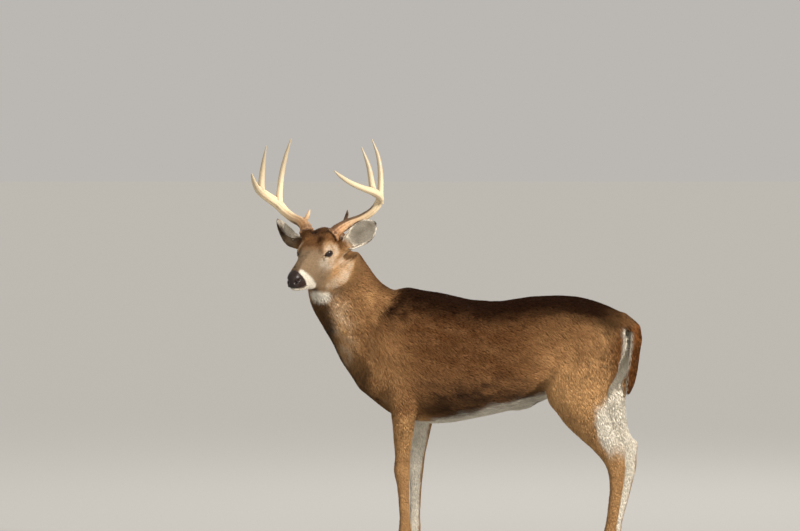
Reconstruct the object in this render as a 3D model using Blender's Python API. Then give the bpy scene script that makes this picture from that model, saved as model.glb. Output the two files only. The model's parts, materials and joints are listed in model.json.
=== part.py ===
"""White-tailed deer: a life-size buck in winter coat, standing, head turned to its left.

The deer faces -X, its left side faces -Y, +Z is up and the ground is z = 0.
Lengths are in metres. Every outline is taken at the tips of the coat.
"""

import math

import bmesh
import bpy
import numpy as np
from mathutils import Matrix, Vector

# ------------------------------------------------------------------ general sizes
GAP = 0.0003  # clearance between neighbouring pieces
VOXEL = 0.006  # grain of the merged flesh before it is simplified
SIDES = {"left": -1.0, "right": 1.0}  # sign of y for each side of the animal

# ------------------------------------------------------------------ trunk
# Stations along the trunk: x behind the withers, back height, belly height,
# half width, share of the depth at which it is widest, roundness of the back.
TRUNK = (
    (-0.140, 0.740, 0.640, 0.040, 0.50, 2.0),
    (-0.115, 0.790, 0.605, 0.080, 0.48, 2.0),
    (-0.070, 0.865, 0.572, 0.112, 0.45, 1.9),
    (-0.020, 0.930, 0.535, 0.130, 0.44, 1.8),
    (0.040, 0.969, 0.503, 0.142, 0.44, 1.75),
    (0.110, 0.961, 0.489, 0.150, 0.45, 1.8),
    (0.200, 0.947, 0.490, 0.159, 0.46, 1.9),
    (0.300, 0.926, 0.507, 0.169, 0.47, 2.0),
    (0.400, 0.924, 0.530, 0.172, 0.48, 2.1),
    (0.500, 0.939, 0.556, 0.164, 0.50, 2.1),
    (0.600, 0.946, 0.590, 0.150, 0.52, 2.2),
    (0.690, 0.942, 0.628, 0.138, 0.54, 2.2),
    (0.770, 0.921, 0.668, 0.124, 0.54, 2.2),
    (0.835, 0.893, 0.706, 0.104, 0.52, 2.1),
    (0.880, 0.858, 0.750, 0.066, 0.50, 2.0),
)
BELLY_ROUNDNESS = 2.15

# Muscle masses of one side: centre (x, distance from the mid-plane, z), radii, lean of the
# long axis to the rear in degrees.
MASSES = {
    "shoulder_blade": ((0.024, 0.080, 0.780), (0.080, 0.058, 0.128), 22),
    "upper_arm": ((0.005, 0.103, 0.650), (0.088, 0.050, 0.066), -35),
    "breast": ((-0.085, 0.032, 0.680), (0.052, 0.056, 0.080), 0),
    "haunch": ((0.735, 0.082, 0.740), (0.120, 0.062, 0.165), 4),
    "stifle": ((0.680, 0.100, 0.620), (0.075, 0.048, 0.085), 25),
    "hip": ((0.650, 0.080, 0.880), (0.070, 0.045, 0.035), 0),
    "buttock": ((0.812, 0.056, 0.740), (0.056, 0.048, 0.120), 6),
}
# Single masses on the mid-plane: the sheath under the belly, the scrotum behind it
MIDDLE_MASSES = {
    "sheath": ((0.490, 0.0, 0.563), (0.065, 0.022, 0.022), -16),
    "scrotum": ((0.740, 0.0, 0.640), (0.032, 0.028, 0.045), 0),
}

# ------------------------------------------------------------------ legs
# Stations down a leg: x, distance from the mid-plane, z, half depth fore and aft, half width.
FORELEG = (
    (0.050, 0.092, 0.700, 0.085, 0.046),
    (0.066, 0.102, 0.620, 0.068, 0.048),
    (0.082, 0.106, 0.560, 0.053, 0.043),
    (0.082, 0.105, 0.500, 0.042, 0.036),
    (0.079, 0.103, 0.430, 0.034, 0.030),
    (0.077, 0.101, 0.370, 0.028, 0.026),
    (0.074, 0.100, 0.325, 0.0300, 0.0275),
    (0.078, 0.099, 0.285, 0.0245, 0.0225),
    (0.082, 0.098, 0.210, 0.0210, 0.0185),
    (0.085, 0.098, 0.140, 0.0215, 0.0195),
    (0.085, 0.098, 0.108, 0.0255, 0.0250),
    (0.072, 0.098, 0.072, 0.0215, 0.0235),
    (0.057, 0.098, 0.044, 0.0240, 0.0260),
    (0.050, 0.098, 0.026, 0.0220, 0.0240),
)
HINDLEG = (
    (0.735, 0.088, 0.700, 0.118, 0.058),
    (0.728, 0.100, 0.620, 0.110, 0.056),
    (0.744, 0.105, 0.560, 0.096, 0.049),
    (0.774, 0.106, 0.500, 0.071, 0.039),
    (0.808, 0.105, 0.445, 0.050, 0.031),
    (0.838, 0.104, 0.398, 0.042, 0.0270),
    (0.850, 0.104, 0.350, 0.034, 0.0250),
    (0.847, 0.104, 0.300, 0.0265, 0.0215),
    (0.833, 0.104, 0.220, 0.0230, 0.0185),
    (0.817, 0.104, 0.145, 0.0230, 0.0195),
    (0.811, 0.104, 0.113, 0.0270, 0.0250),
    (0.796, 0.104, 0.076, 0.0220, 0.0235),
    (0.781, 0.104, 0.046, 0.0250, 0.0260),
    (0.773, 0.104, 0.027, 0.0230, 0.0240),
)
# Each leg: its stations, how far the foot is set ahead (-) or behind (+), the height at which
# the foot starts to swing, the top of the leg piece, the joint between its two pieces, and
# the distance from the mid-plane at which the leg piece starts.
LEGS = {
    "leg_front_left": (FORELEG, "left", 0.000, 0.60, 0.530, 0.325, 0.056),
    "leg_front_right": (FORELEG, "right", -0.045, 0.60, 0.530, 0.325, 0.056),
    "leg_hind_left": (HINDLEG, "left", 0.035, 0.62, 0.575, 0.388, 0.040),
    "leg_hind_right": (HINDLEG, "right", -0.030, 0.62, 0.575, 0.388, 0.040),
}
LEG_ROOM = 0.025  # room ahead of and behind a leg in the cut that parts it from the trunk
HOCK_POINT = (0.040, 0.012)  # how far the point of the hock stands behind and above its joint

# ------------------------------------------------------------------ hooves
CLAW_HEEL = 0.024  # heel behind the middle of the coronet
CLAW_TOE = 0.052  # toe ahead of it
CLAW_HALF_WIDTH = 0.0125
CLAW_SPREAD = 0.0138  # middle of a claw from the middle of the foot
CORONET_HEIGHT = 0.036  # at the middle of the foot
CORONET_SLOPE = math.radians(22)  # the coronet falls to the rear
DEWCLAW_SIZE = (0.0095, 0.0085, 0.0170)
DEWCLAW_BACK = 0.0215
DEWCLAW_SPREAD = 0.0150
DEWCLAW_DROP = 0.020  # below the fetlock

# ------------------------------------------------------------------ neck
# Stations up the neck: centre, direction of the nape, depth to the nape, depth to the
# throat, half width.
NECK = (
    ((0.040, 0.000, 0.735), (0.74, 0.00, 0.67), 0.195, 0.190, 0.128),
    ((-0.035, -0.006, 0.795), (0.77, 0.05, 0.63), 0.170, 0.178, 0.120),
    ((-0.078, -0.025, 0.850), (0.79, 0.12, 0.60), 0.142, 0.157, 0.110),
    ((-0.122, -0.050, 0.908), (0.78, 0.24, 0.57), 0.122, 0.140, 0.102),
    ((-0.160, -0.080, 0.978), (0.74, 0.38, 0.55), 0.116, 0.130, 0.095),
    ((-0.190, -0.102, 1.040), (0.70, 0.46, 0.54), 0.112, 0.098, 0.080),
)
NECK_ROUNDNESS = 2.1

# ------------------------------------------------------------------ head
EYE_LINE = Vector((-0.2207, -0.180, 1.084))  # midway between the eyes
HEADING = Vector((-0.139, -0.990, 0.0)).normalized()
HEAD_LEFT = Vector((0.990, -0.139, 0.0)).normalized()
NOSE_DOWN = math.radians(13)
# Stations along the skull: distance ahead of the eyes, top, bottom, half width, height at
# which it is widest, roundness above and below that height.
SKULL = (
    (0.188, -0.036, -0.078, 0.0175, -0.056, 2.3, 2.3),
    (0.183, -0.029, -0.085, 0.0238, -0.055, 2.5, 2.4),
    (0.167, -0.020, -0.092, 0.0275, -0.055, 2.4, 2.2),
    (0.143, -0.008, -0.096, 0.0290, -0.056, 2.3, 2.1),
    (0.110, 0.004, -0.101, 0.0310, -0.053, 2.3, 2.0),
    (0.078, 0.015, -0.109, 0.0375, -0.046, 2.3, 1.9),
    (0.045, 0.027, -0.117, 0.0480, -0.034, 2.3, 1.8),
    (0.015, 0.041, -0.123, 0.0590, -0.018, 2.5, 1.7),
    (-0.020, 0.057, -0.126, 0.0645, -0.012, 2.5, 1.7),
    (-0.055, 0.071, -0.122, 0.0655, -0.012, 2.3, 1.8),
    (-0.090, 0.073, -0.110, 0.0640, -0.012, 2.2, 1.9),
    (-0.120, 0.056, -0.088, 0.0560, -0.012, 2.1, 2.0),
    (-0.140, 0.030, -0.060, 0.0350, -0.012, 2.0, 2.0),
)
# Masses of one side of the head in skull measure: centre and radii
HEAD_MASSES = {
    "brow": ((-0.010, 0.045, 0.020), (0.034, 0.0200, 0.020)),
    "cheek": ((-0.030, 0.032, -0.066), (0.058, 0.032, 0.046)),
    "lip": ((0.148, 0.015, -0.066), (0.030, 0.0155, 0.016)),
    "poll": ((-0.122, 0.030, 0.000), (0.045, 0.040, 0.055)),
}
HEAD_SIDES = {"left": 1.0, "right": -1.0}  # sign of the distance to the head's own left
EYE_CENTRE = (0.0, 0.0510, 0.0030)
EYE_RADIUS = 0.0185

# ------------------------------------------------------------------ ears
# Each ear in level head measure (ahead, out, above): its root, its tip, the way its cup
# opens, and how tightly the cup is curled. The left ear faces ahead, the right one is turned
# up and in.
EARS = {
    "left": ((-0.066, 0.060, 0.014), (-0.062, 0.208, 0.112), (0.95, 0.10, -0.28), 1.0),
    "right": ((-0.068, 0.060, 0.016), (-0.062, 0.183, 0.119), (0.02, -0.73, 0.68), 1.2),
}
EAR_BOW = 0.008  # how far the back of the ear bows away from the straight line
EAR_STARTS = 0.20  # share of the length at which the free shell begins
EAR_WALL = 0.0055
# Stations up the ear: share of its length, half width, half angle of the cup in degrees
EAR = (
    (0.20, 0.0250, 140),
    (0.28, 0.0310, 112),
    (0.40, 0.0380, 84),
    (0.54, 0.0430, 66),
    (0.68, 0.0425, 56),
    (0.81, 0.0355, 50),
    (0.92, 0.0225, 46),
    (1.00, 0.0060, 44),
)

# ------------------------------------------------------------------ antlers
# Stations of each beam in level head measure: ahead, out, above the eyes, radius. The points
# are the same on both sides.
BEAM = {
    "left": (
        (-0.038, 0.0530, 0.070, 0.0215),
        (-0.057, 0.0690, 0.090, 0.0195),
        (-0.077, 0.0950, 0.108, 0.0172),
        (-0.096, 0.1350, 0.126, 0.0150),
        (-0.107, 0.1735, 0.152, 0.0138),
        (-0.105, 0.1990, 0.183, 0.0142),
        (-0.070, 0.2190, 0.202, 0.0138),
        (-0.016, 0.2240, 0.220, 0.0140),
        (0.035, 0.2120, 0.231, 0.0110),
        (0.085, 0.1925, 0.245, 0.0092),
        (0.130, 0.1750, 0.265, 0.0065),
        (0.159, 0.1640, 0.284, 0.0025),
    ),
    "right": (
        (-0.038, 0.0520, 0.074, 0.0215),
        (-0.057, 0.0690, 0.094, 0.0200),
        (-0.077, 0.0970, 0.109, 0.0180),
        (-0.096, 0.1370, 0.121, 0.0165),
        (-0.107, 0.1770, 0.143, 0.0165),
        (-0.105, 0.2060, 0.171, 0.0185),
        (-0.070, 0.2240, 0.194, 0.0172),
        (-0.016, 0.2260, 0.216, 0.0150),
        (0.035, 0.2120, 0.230, 0.0112),
        (0.085, 0.1925, 0.245, 0.0092),
        (0.130, 0.1750, 0.265, 0.0065),
        (0.159, 0.1640, 0.284, 0.0025),
    ),
}
BEAM_LIFT = {"left": 0.012, "right": 0.0}  # the left beam's tip is carried higher
BEAM_FORKS = (5, 7)  # beam stations at which the second and third points rise
BURR = (0.0290, 0.0130)  # radius of the burr and its thickness
TINES = {
    "brow": (
        (-0.066, 0.0830, 0.098, 0.0100),
        (-0.083, 0.0795, 0.122, 0.0080),
        (-0.096, 0.0770, 0.140, 0.0058),
        (-0.102, 0.0750, 0.154, 0.0020),
    ),
    "second": (
        (-0.105, 0.1995, 0.185, 0.0118),
        (-0.110, 0.2010, 0.215, 0.0112),
        (-0.119, 0.1970, 0.280, 0.0096),
        (-0.125, 0.1840, 0.342, 0.0070),
        (-0.122, 0.1610, 0.402, 0.0020),
    ),
    "third": (
        (-0.016, 0.2230, 0.219, 0.0140),
        (-0.012, 0.2200, 0.248, 0.0115),
        (-0.006, 0.2100, 0.310, 0.0082),
        (0.008, 0.1890, 0.378, 0.0020),
    ),
}

# ------------------------------------------------------------------ tail
# Stations down the tail: x, z, half thickness, half width
TAIL = (
    (0.872, 0.850, 0.022, 0.030),
    (0.897, 0.834, 0.020, 0.033),
    (0.904, 0.795, 0.017, 0.038),
    (0.896, 0.740, 0.015, 0.041),
    (0.890, 0.680, 0.014, 0.042),
    (0.881, 0.620, 0.012, 0.034),
    (0.872, 0.572, 0.005, 0.011),
)
TAIL_PLANE = (Vector((0.880, 0.0, 0.846)), Vector((0.88, 0.0, -0.47)).normalized())

# ------------------------------------------------------------------ where the nodes part
NECK_BASE = (Vector((-0.075, -0.01, 0.820)), Vector((-0.80, -0.16, 0.56)).normalized())
HEAD_BASE = (Vector((-0.205, -0.100, 1.010)), Vector((-0.18, -0.72, 0.67)).normalized())
FACES = {  # triangles given to each piece of flesh
    "head": 1560,
    "neck": 400,
    "trunk": 1320,
    "upper_leg": 180,
    "lower_leg": 200,
}

# ------------------------------------------------------------------ colours
LOOKS = {
    "body_coat": ((0.150, 0.085, 0.045), 0.85),
    "face_coat": ((0.250, 0.165, 0.100), 0.85),
    "leg_coat": ((0.280, 0.180, 0.100), 0.85),
    "tail_coat": ((0.240, 0.110, 0.045), 0.85),
    "antler_bone": ((0.620, 0.480, 0.310), 0.55),
    "hoof_horn": ((0.030, 0.024, 0.020), 0.45),
    "eye_dark": ((0.020, 0.011, 0.006), 0.08),
}


# ------------------------------------------------------------------ helpers
def clear_scene():
    for old in list(bpy.data.objects):
        bpy.data.objects.remove(old, do_unlink=True)


def make_materials():
    made = {}
    for name, (colour, roughness) in LOOKS.items():
        look = bpy.data.materials.new(name)
        look.use_nodes = True
        shader = look.node_tree.nodes["Principled BSDF"]
        shader.inputs["Base Color"].default_value = (*colour, 1.0)
        shader.inputs["Roughness"].default_value = roughness
        shader.inputs["Metallic"].default_value = 0.0
        made[name] = look
    return made


def smooth_rows(rows, steps, along=1):
    """A smooth curve through rows of numbers, `steps` rows for every span.

    The first `along` columns measure the distance between rows.
    """
    rows = np.array(rows, dtype=float)
    gaps = np.linalg.norm(np.diff(rows[:, :along], axis=0), axis=1)
    at = np.concatenate(([0.0], np.cumsum(gaps)))
    slopes = np.gradient(rows, at, axis=0)
    out = []
    for i in range(len(rows) - 1):
        length = at[i + 1] - at[i]
        for k in range(steps):
            u = k / steps
            out.append(
                (2 * u**3 - 3 * u**2 + 1) * rows[i]
                + (u**3 - 2 * u**2 + u) * length * slopes[i]
                + (3 * u**2 - 2 * u**3) * rows[i + 1]
                + (u**3 - u**2) * length * slopes[i + 1]
            )
    out.append(rows[-1])
    return np.array(out)


def signed_power(value, power):
    return math.copysign(abs(value) ** power, value)


def oval(centre, side, up, half_width, rise, drop, round_up=2.0, round_down=2.0, count=24):
    """A ring about `centre`: superellipse halves of their own height and roundness."""
    ring = []
    for k in range(count):
        angle = 2 * math.pi * k / count
        upper = math.sin(angle) >= 0
        power = 2.0 / (round_up if upper else round_down)
        across = half_width * signed_power(math.cos(angle), power)
        height = (rise if upper else drop) * signed_power(math.sin(angle), power)
        ring.append(centre + side * across + up * height)
    return ring


def loft(rings):
    """One closed shell through rings of equal count, with a flat cap at each end."""
    bm = bmesh.new()
    loops = [[bm.verts.new(point) for point in ring] for ring in rings]
    count = len(loops[0])
    for first, second in zip(loops, loops[1:]):
        for i in range(count):
            j = (i + 1) % count
            bm.faces.new((first[i], first[j], second[j], second[i]))
    bm.faces.new(loops[0][::-1])
    bm.faces.new(loops[-1])
    bmesh.ops.recalc_face_normals(bm, faces=bm.faces)
    mesh = bpy.data.meshes.new("loft")
    bm.to_mesh(mesh)
    bm.free()
    return mesh


def ellipsoid(centre, axes, radii, segments=20, rings=12):
    """A closed ellipsoid whose half axes are `radii` along the three `axes`."""
    turn = Matrix([axes[0], axes[1], axes[2]]).transposed().to_4x4()
    sizes = Matrix.Diagonal((*radii, 1.0))
    bm = bmesh.new()
    bmesh.ops.create_uvsphere(bm, u_segments=segments, v_segments=rings, radius=1.0)
    bmesh.ops.transform(bm, matrix=Matrix.Translation(centre) @ turn @ sizes, verts=bm.verts)
    bmesh.ops.recalc_face_normals(bm, faces=bm.faces)
    mesh = bpy.data.meshes.new("ellipsoid")
    bm.to_mesh(mesh)
    bm.free()
    return mesh


def add_object(name, mesh, look=None):
    made = bpy.data.objects.new(name, mesh)
    bpy.context.scene.collection.objects.link(made)
    mesh.name = name
    if look:
        mesh.materials.append(look)
    mesh.shade_smooth()
    mesh.set_sharp_from_angle(angle=math.radians(50))
    return made


def joined(meshes):
    """Several closed shells in one mesh."""
    bm = bmesh.new()
    for mesh in meshes:
        bm.from_mesh(mesh)
        bpy.data.meshes.remove(mesh)
    whole = bpy.data.meshes.new("shells")
    bm.to_mesh(whole)
    bm.free()
    return whole


def evaluated(thing):
    """The mesh of an object with its modifiers applied."""
    depsgraph = bpy.context.evaluated_depsgraph_get()
    return bpy.data.meshes.new_from_object(thing.evaluated_get(depsgraph))


def relax(mesh, rounds, share_at=None):
    """Even out a mesh: each point moves a share of the way to its neighbours' mean."""
    points = np.empty(len(mesh.vertices) * 3)
    mesh.vertices.foreach_get("co", points)
    points = points.reshape(-1, 3)
    ends = np.empty(len(mesh.edges) * 2, dtype=np.int64)
    mesh.edges.foreach_get("vertices", ends)
    ends = ends.reshape(-1, 2)
    links = np.bincount(ends.ravel(), minlength=len(points))[:, None]
    share = 0.5 if share_at is None else 0.5 * share_at(points)[:, None]
    for _ in range(rounds):
        total = np.zeros_like(points)
        for axis in range(3):
            total[:, axis] += np.bincount(ends[:, 0], points[ends[:, 1], axis], len(points))
            total[:, axis] += np.bincount(ends[:, 1], points[ends[:, 0], axis], len(points))
        points += share * (total / links - points)
    mesh.vertices.foreach_set("co", points.ravel())
    mesh.update()


def ramp(values, low, high):
    """0 below `low`, 1 above `high`, straight in between."""
    return np.clip((values - low) / (high - low), 0.0, 1.0)


def body_share(points):
    """Where the flesh is broad: 1 on the trunk and neck, 0 on the legs and the head."""
    from_head = np.linalg.norm(points - np.array(EYE_LINE), axis=1)
    return ramp(points[:, 2], 0.52, 0.62) * ramp(from_head, 0.15, 0.22)


def skull_point(ahead, left, above):
    """A point measured along the skull, which is pitched nose down."""
    forward = HEADING * math.cos(NOSE_DOWN) - Vector((0, 0, math.sin(NOSE_DOWN)))
    upward = HEADING * math.sin(NOSE_DOWN) + Vector((0, 0, math.cos(NOSE_DOWN)))
    return EYE_LINE + forward * ahead + HEAD_LEFT * left + upward * above


def level_point(ahead, left, above):
    """A point measured level from the eyes, along the heading of the head."""
    return EYE_LINE + HEADING * ahead + HEAD_LEFT * left + Vector((0, 0, above))


# ------------------------------------------------------------------ flesh
def trunk_shell():
    rings = []
    for x, back, belly, half, widest, roundness in smooth_rows(TRUNK, 3):
        middle = belly + (back - belly) * widest
        rings.append(
            oval(
                Vector((x, 0, middle)), Vector((0, 1, 0)), Vector((0, 0, 1)),
                half, back - middle, middle - belly, roundness, BELLY_ROUNDNESS, 36,
            )
        )
    return loft(rings)


def mass_shells():
    shells = []
    for centre, radii, lean in list(MASSES.values()):
        for sign in SIDES.values():
            shells.append(mass_shell(centre, radii, lean, sign))
    for centre, radii, lean in MIDDLE_MASSES.values():
        shells.append(mass_shell(centre, radii, lean, 1.0))
    return shells


def mass_shell(centre, radii, lean, sign):
    angle = math.radians(lean)
    long_axis = Vector((math.sin(angle), 0, math.cos(angle)))
    fore_axis = Vector((math.cos(angle), 0, -math.sin(angle)))
    place = Vector((centre[0], centre[1] * sign, centre[2]))
    return ellipsoid(place, (fore_axis, Vector((0, 1, 0)), long_axis), radii)


def leg_stations(stations, side, swing, swing_top):
    """The smoothed stations of one leg, its foot moved by `swing` below `swing_top`."""
    rows = smooth_rows(stations, 3, 3)
    share = np.clip((swing_top - rows[:, 2]) / swing_top, 0, 1)
    rows[:, 0] += swing * share
    rows[:, 1] *= SIDES[side]
    return rows


def leg_shells(stations, side, swing, swing_top):
    rows = leg_stations(stations, side, swing, swing_top)
    slopes = np.gradient(rows[:, :3], axis=0)
    rings = []
    for row, slope in zip(rows, slopes):
        along = Vector(slope).normalized()
        fore = along.cross(Vector((0, 1, 0))).normalized()
        rings.append(
            oval(Vector(row[:3]), Vector((0, 1, 0)), fore, row[4], row[3], row[3], count=20)
        )
    shells = [loft(rings)]
    if stations is HINDLEG:
        hock = rows[5 * 3]
        place = Vector((hock[0] + HOCK_POINT[0] * 0.55, hock[1], hock[2] + HOCK_POINT[1]))
        axes = (Vector((0.94, 0, -0.34)), Vector((0, 1, 0)), Vector((0.34, 0, 0.94)))
        shells.append(ellipsoid(place, axes, (0.026, 0.019, 0.040), 16, 10))
    return shells


def neck_shell():
    rows = [(*centre, *nape, up, down, half) for centre, nape, up, down, half in NECK]
    rows = smooth_rows(rows, 3, 3)
    slopes = np.gradient(rows[:, :3], axis=0)
    rings = []
    for row, slope in zip(rows, slopes):
        along = Vector(slope).normalized()
        nape = Vector(row[3:6])
        nape = (nape - along * nape.dot(along)).normalized()
        side = along.cross(nape)
        rings.append(
            oval(
                Vector(row[:3]), side, nape, row[8], row[6], row[7],
                NECK_ROUNDNESS, NECK_ROUNDNESS, 28,
            )
        )
    return loft(rings)


def head_shells():
    rings = []
    side = skull_point(0, 1, 0) - skull_point(0, 0, 0)
    up = skull_point(0, 0, 1) - skull_point(0, 0, 0)
    forward = skull_point(1, 0, 0) - skull_point(0, 0, 0)
    for ahead, top, bottom, half, widest, above, below in smooth_rows(SKULL, 3):
        rings.append(
            oval(
                skull_point(ahead, 0, widest), side, up,
                half, top - widest, widest - bottom, above, below, 28,
            )
        )
    shells = [loft(rings)]
    for centre, radii in HEAD_MASSES.values():
        for sign in HEAD_SIDES.values():
            place = skull_point(centre[0], centre[1] * sign, centre[2])
            shells.append(ellipsoid(place, (forward, side, up), radii, 16, 10))
    for name in HEAD_SIDES:
        shells.append(pedicle_shell(name))
        shells.append(ear_stub_shell(name))
    return shells


def tube(centres, radii, count=12, start_normal=None):
    """A closed round tube through centres, turned as little as possible along its way."""
    centres = [Vector(c) for c in centres]
    rings = []
    last = len(centres) - 1
    side = None
    for i, (centre, radius) in enumerate(zip(centres, radii)):
        along = (centres[min(i + 1, last)] - centres[max(i - 1, 0)]).normalized()
        if i == 0 and start_normal is not None:
            along = start_normal
        if side is None:
            side = along.orthogonal()
        side = (side - along * side.dot(along)).normalized()
        rings.append(oval(centre, side, along.cross(side), radius, radius, radius, count=count))
    return loft(rings)


# ------------------------------------------------------------------ seats of ears, antlers, tail
def ear_frame(name):
    """Root, tip, the directions along and across the ear, and the way its cup opens."""
    (ahead, out, above), (tip_ahead, tip_out, tip_above), facing, _ = EARS[name]
    sign = HEAD_SIDES[name]
    root = level_point(ahead, out * sign, above)
    tip = level_point(tip_ahead, tip_out * sign, tip_above)
    along = (tip - root).normalized()
    opening = level_point(facing[0], facing[1] * sign, facing[2]) - EYE_LINE
    opening = (opening - along * opening.dot(along)).normalized()
    return root, tip, along, along.cross(opening).normalized(), opening


def ear_centre(name, share):
    root, tip, _, _, opening = ear_frame(name)
    return root.lerp(tip, share) - opening * EAR_BOW * math.sin(math.pi * share)


def ear_stub_shell(name):
    """The fleshy butt of the ear, from inside the skull to a little past the shell's start."""
    shares = (-0.10, 0.05, 0.16, 0.28)
    radii = (0.030, 0.028, 0.0265, 0.0265)
    centres = [ear_centre(name, share) for share in shares]
    return tube(centres, radii, 14)


def pedicle_axis(name):
    ends = [level_point(row[0], row[1] * HEAD_SIDES[name], row[2]) for row in BEAM[name][:2]]
    return ends[0], (ends[1] - ends[0]).normalized()


def pedicle_shell(name):
    seat, axis = pedicle_axis(name)
    centres = [seat - axis * 0.045, seat - axis * 0.015, seat + axis * 0.012]
    return tube(centres, (0.026, 0.0225, 0.0225), 14)


def tail_stub_shell():
    seat, axis = TAIL_PLANE
    centres = [seat - axis * 0.05, seat - axis * 0.01, seat + axis * 0.015]
    return tube(centres, (0.036, 0.029, 0.027), 14)


def flesh_mesh():
    """All the flesh as one smooth closed surface."""
    shells = [trunk_shell(), neck_shell(), tail_stub_shell()]
    shells += mass_shells() + head_shells()
    for stations, side, swing, swing_top, *_ in LEGS.values():
        shells += leg_shells(stations, side, swing, swing_top)
    draft = add_object("flesh_draft", joined(shells))
    remesh = draft.modifiers.new("merge", "REMESH")
    remesh.mode = "VOXEL"
    remesh.voxel_size = VOXEL
    mesh = evaluated(draft)
    bpy.data.objects.remove(draft, do_unlink=True)
    relax(mesh, 4)
    relax(mesh, 24, body_share)
    return mesh


# ------------------------------------------------------------------ cutting the flesh
def keep_side(mesh, point, normal, grow=0.0):
    """Keep what lies on the normal's side of a plane and close the cut."""
    bm = bmesh.new()
    bm.from_mesh(mesh)
    geometry = bm.verts[:] + bm.edges[:] + bm.faces[:]
    cut = bmesh.ops.bisect_plane(
        bm, geom=geometry, dist=1e-6, plane_co=point + normal * grow, plane_no=normal,
        clear_inner=True, clear_outer=False,
    )
    rim = [edge for edge in cut["geom_cut"] if isinstance(edge, bmesh.types.BMEdge)]
    if rim:
        bmesh.ops.holes_fill(bm, edges=[e for e in bm.edges if e.is_boundary])
    bm.to_mesh(mesh)
    bm.free()
    return mesh


def simplified(mesh, faces):
    """A copy of a mesh with about `faces` triangles."""
    draft = bpy.data.objects.new("simplify_draft", mesh)
    bpy.context.scene.collection.objects.link(draft)
    triangles = draft.modifiers.new("triangles", "TRIANGULATE")
    triangles.quad_method = "BEAUTY"
    decimate = draft.modifiers.new("simplify", "DECIMATE")
    corners = sum(len(face.vertices) - 2 for face in mesh.polygons)
    decimate.ratio = min(1.0, faces / corners)
    result = evaluated(draft)
    bpy.data.objects.remove(draft, do_unlink=True)
    return result


def box_cutter(name, low, high):
    """A box between two corners, drawn as a wire and left out of the model."""
    bm = bmesh.new()
    bmesh.ops.create_cube(bm, size=1.0)
    low, high = Vector(low), Vector(high)
    for vert in bm.verts:
        vert.co = Vector([(a + b) / 2 + c * (b - a) for a, b, c in zip(low, high, vert.co)])
    mesh = bpy.data.meshes.new(name)
    bm.to_mesh(mesh)
    bm.free()
    return as_cutter(add_object(name, mesh))


def as_cutter(thing):
    thing.hide_render = True
    thing.display_type = "WIRE"
    return thing


def boolean(target, cutter, operation="DIFFERENCE"):
    cut = target.modifiers.new(operation.lower() + "_" + cutter.name, "BOOLEAN")
    cut.operation = operation
    cut.solver = "EXACT"
    cut.object = cutter


def block_cutter(name, seat, axis, length, radius):
    """A round block standing on a seat plane, used to clear what lies beyond the plane."""
    return as_cutter(add_object(name, tube([seat, seat + axis * length], (radius, radius), 12, axis)))


# ------------------------------------------------------------------ the pieces
def make_head(flesh, looks):
    point, normal = HEAD_BASE
    mesh = keep_side(simplified(keep_side(flesh.copy(), point, normal, -0.02), FACES["head"]),
                     point, normal, GAP / 2)
    head = add_object("head", mesh, looks["face_coat"])
    for name in HEAD_SIDES:
        seat, axis = pedicle_axis(name)
        boolean(head, block_cutter("pedicle_cut_" + name, seat, axis, 0.05, 0.034))
        seat = ear_centre(name, EAR_STARTS)
        axis = ear_frame(name)[2]
        boolean(head, block_cutter("ear_cut_" + name, seat, axis, 0.05, 0.045))
        boolean(head, as_cutter(add_object("eye_cut_" + name, eye_mesh(name, GAP))))
    return head


def eye_mesh(name, grow=0.0):
    centre = skull_point(EYE_CENTRE[0], EYE_CENTRE[1] * HEAD_SIDES[name], EYE_CENTRE[2])
    axes = (HEADING, HEAD_LEFT, Vector((0, 0, 1)))
    return ellipsoid(centre, axes, (EYE_RADIUS + grow,) * 3, 12, 8)


def make_neck(flesh, looks):
    base, base_normal = NECK_BASE
    top, top_normal = HEAD_BASE
    mesh = keep_side(flesh.copy(), base, base_normal, -0.03)
    mesh = keep_side(mesh, top, -top_normal, -0.02)
    mesh = simplified(mesh, FACES["neck"])
    mesh = keep_side(mesh, base, base_normal, GAP / 2)
    mesh = keep_side(mesh, top, -top_normal, GAP / 2)
    return add_object("neck", mesh, looks["body_coat"])


def make_trunk(flesh, looks, leg_boxes):
    point, normal = NECK_BASE
    mesh = keep_side(flesh.copy(), point, -normal, -0.03)
    mesh = keep_side(mesh, Vector((0, 0, 0.44)), Vector((0, 0, 1)))
    mesh = simplified(mesh, FACES["trunk"])
    mesh = keep_side(mesh, point, -normal, GAP / 2)
    trunk = add_object("trunk", mesh, looks["body_coat"])
    for name, (low, high) in leg_boxes.items():
        grow = Vector((GAP, GAP, GAP))
        boolean(trunk, box_cutter(name + "_seat", low - grow, high + grow))
    seat, axis = TAIL_PLANE
    boolean(trunk, block_cutter("tail_cut", seat, axis, 0.06, 0.05))
    return trunk


def leg_box(name):
    """The room a leg takes: from under the ground to the top of the leg piece."""
    stations, side, swing, swing_top, top, _, inner = LEGS[name]
    rows = leg_stations(stations, side, swing, swing_top)
    rows = rows[rows[:, 2] < top + 0.02]
    sign = SIDES[side]
    near, far = sorted((inner * sign, 0.30 * sign))
    low = Vector((min(rows[:, 0] - rows[:, 3]) - LEG_ROOM, near, -0.02))
    high = Vector((max(rows[:, 0] + rows[:, 3]) + LEG_ROOM, far, top))
    return low, high


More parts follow.
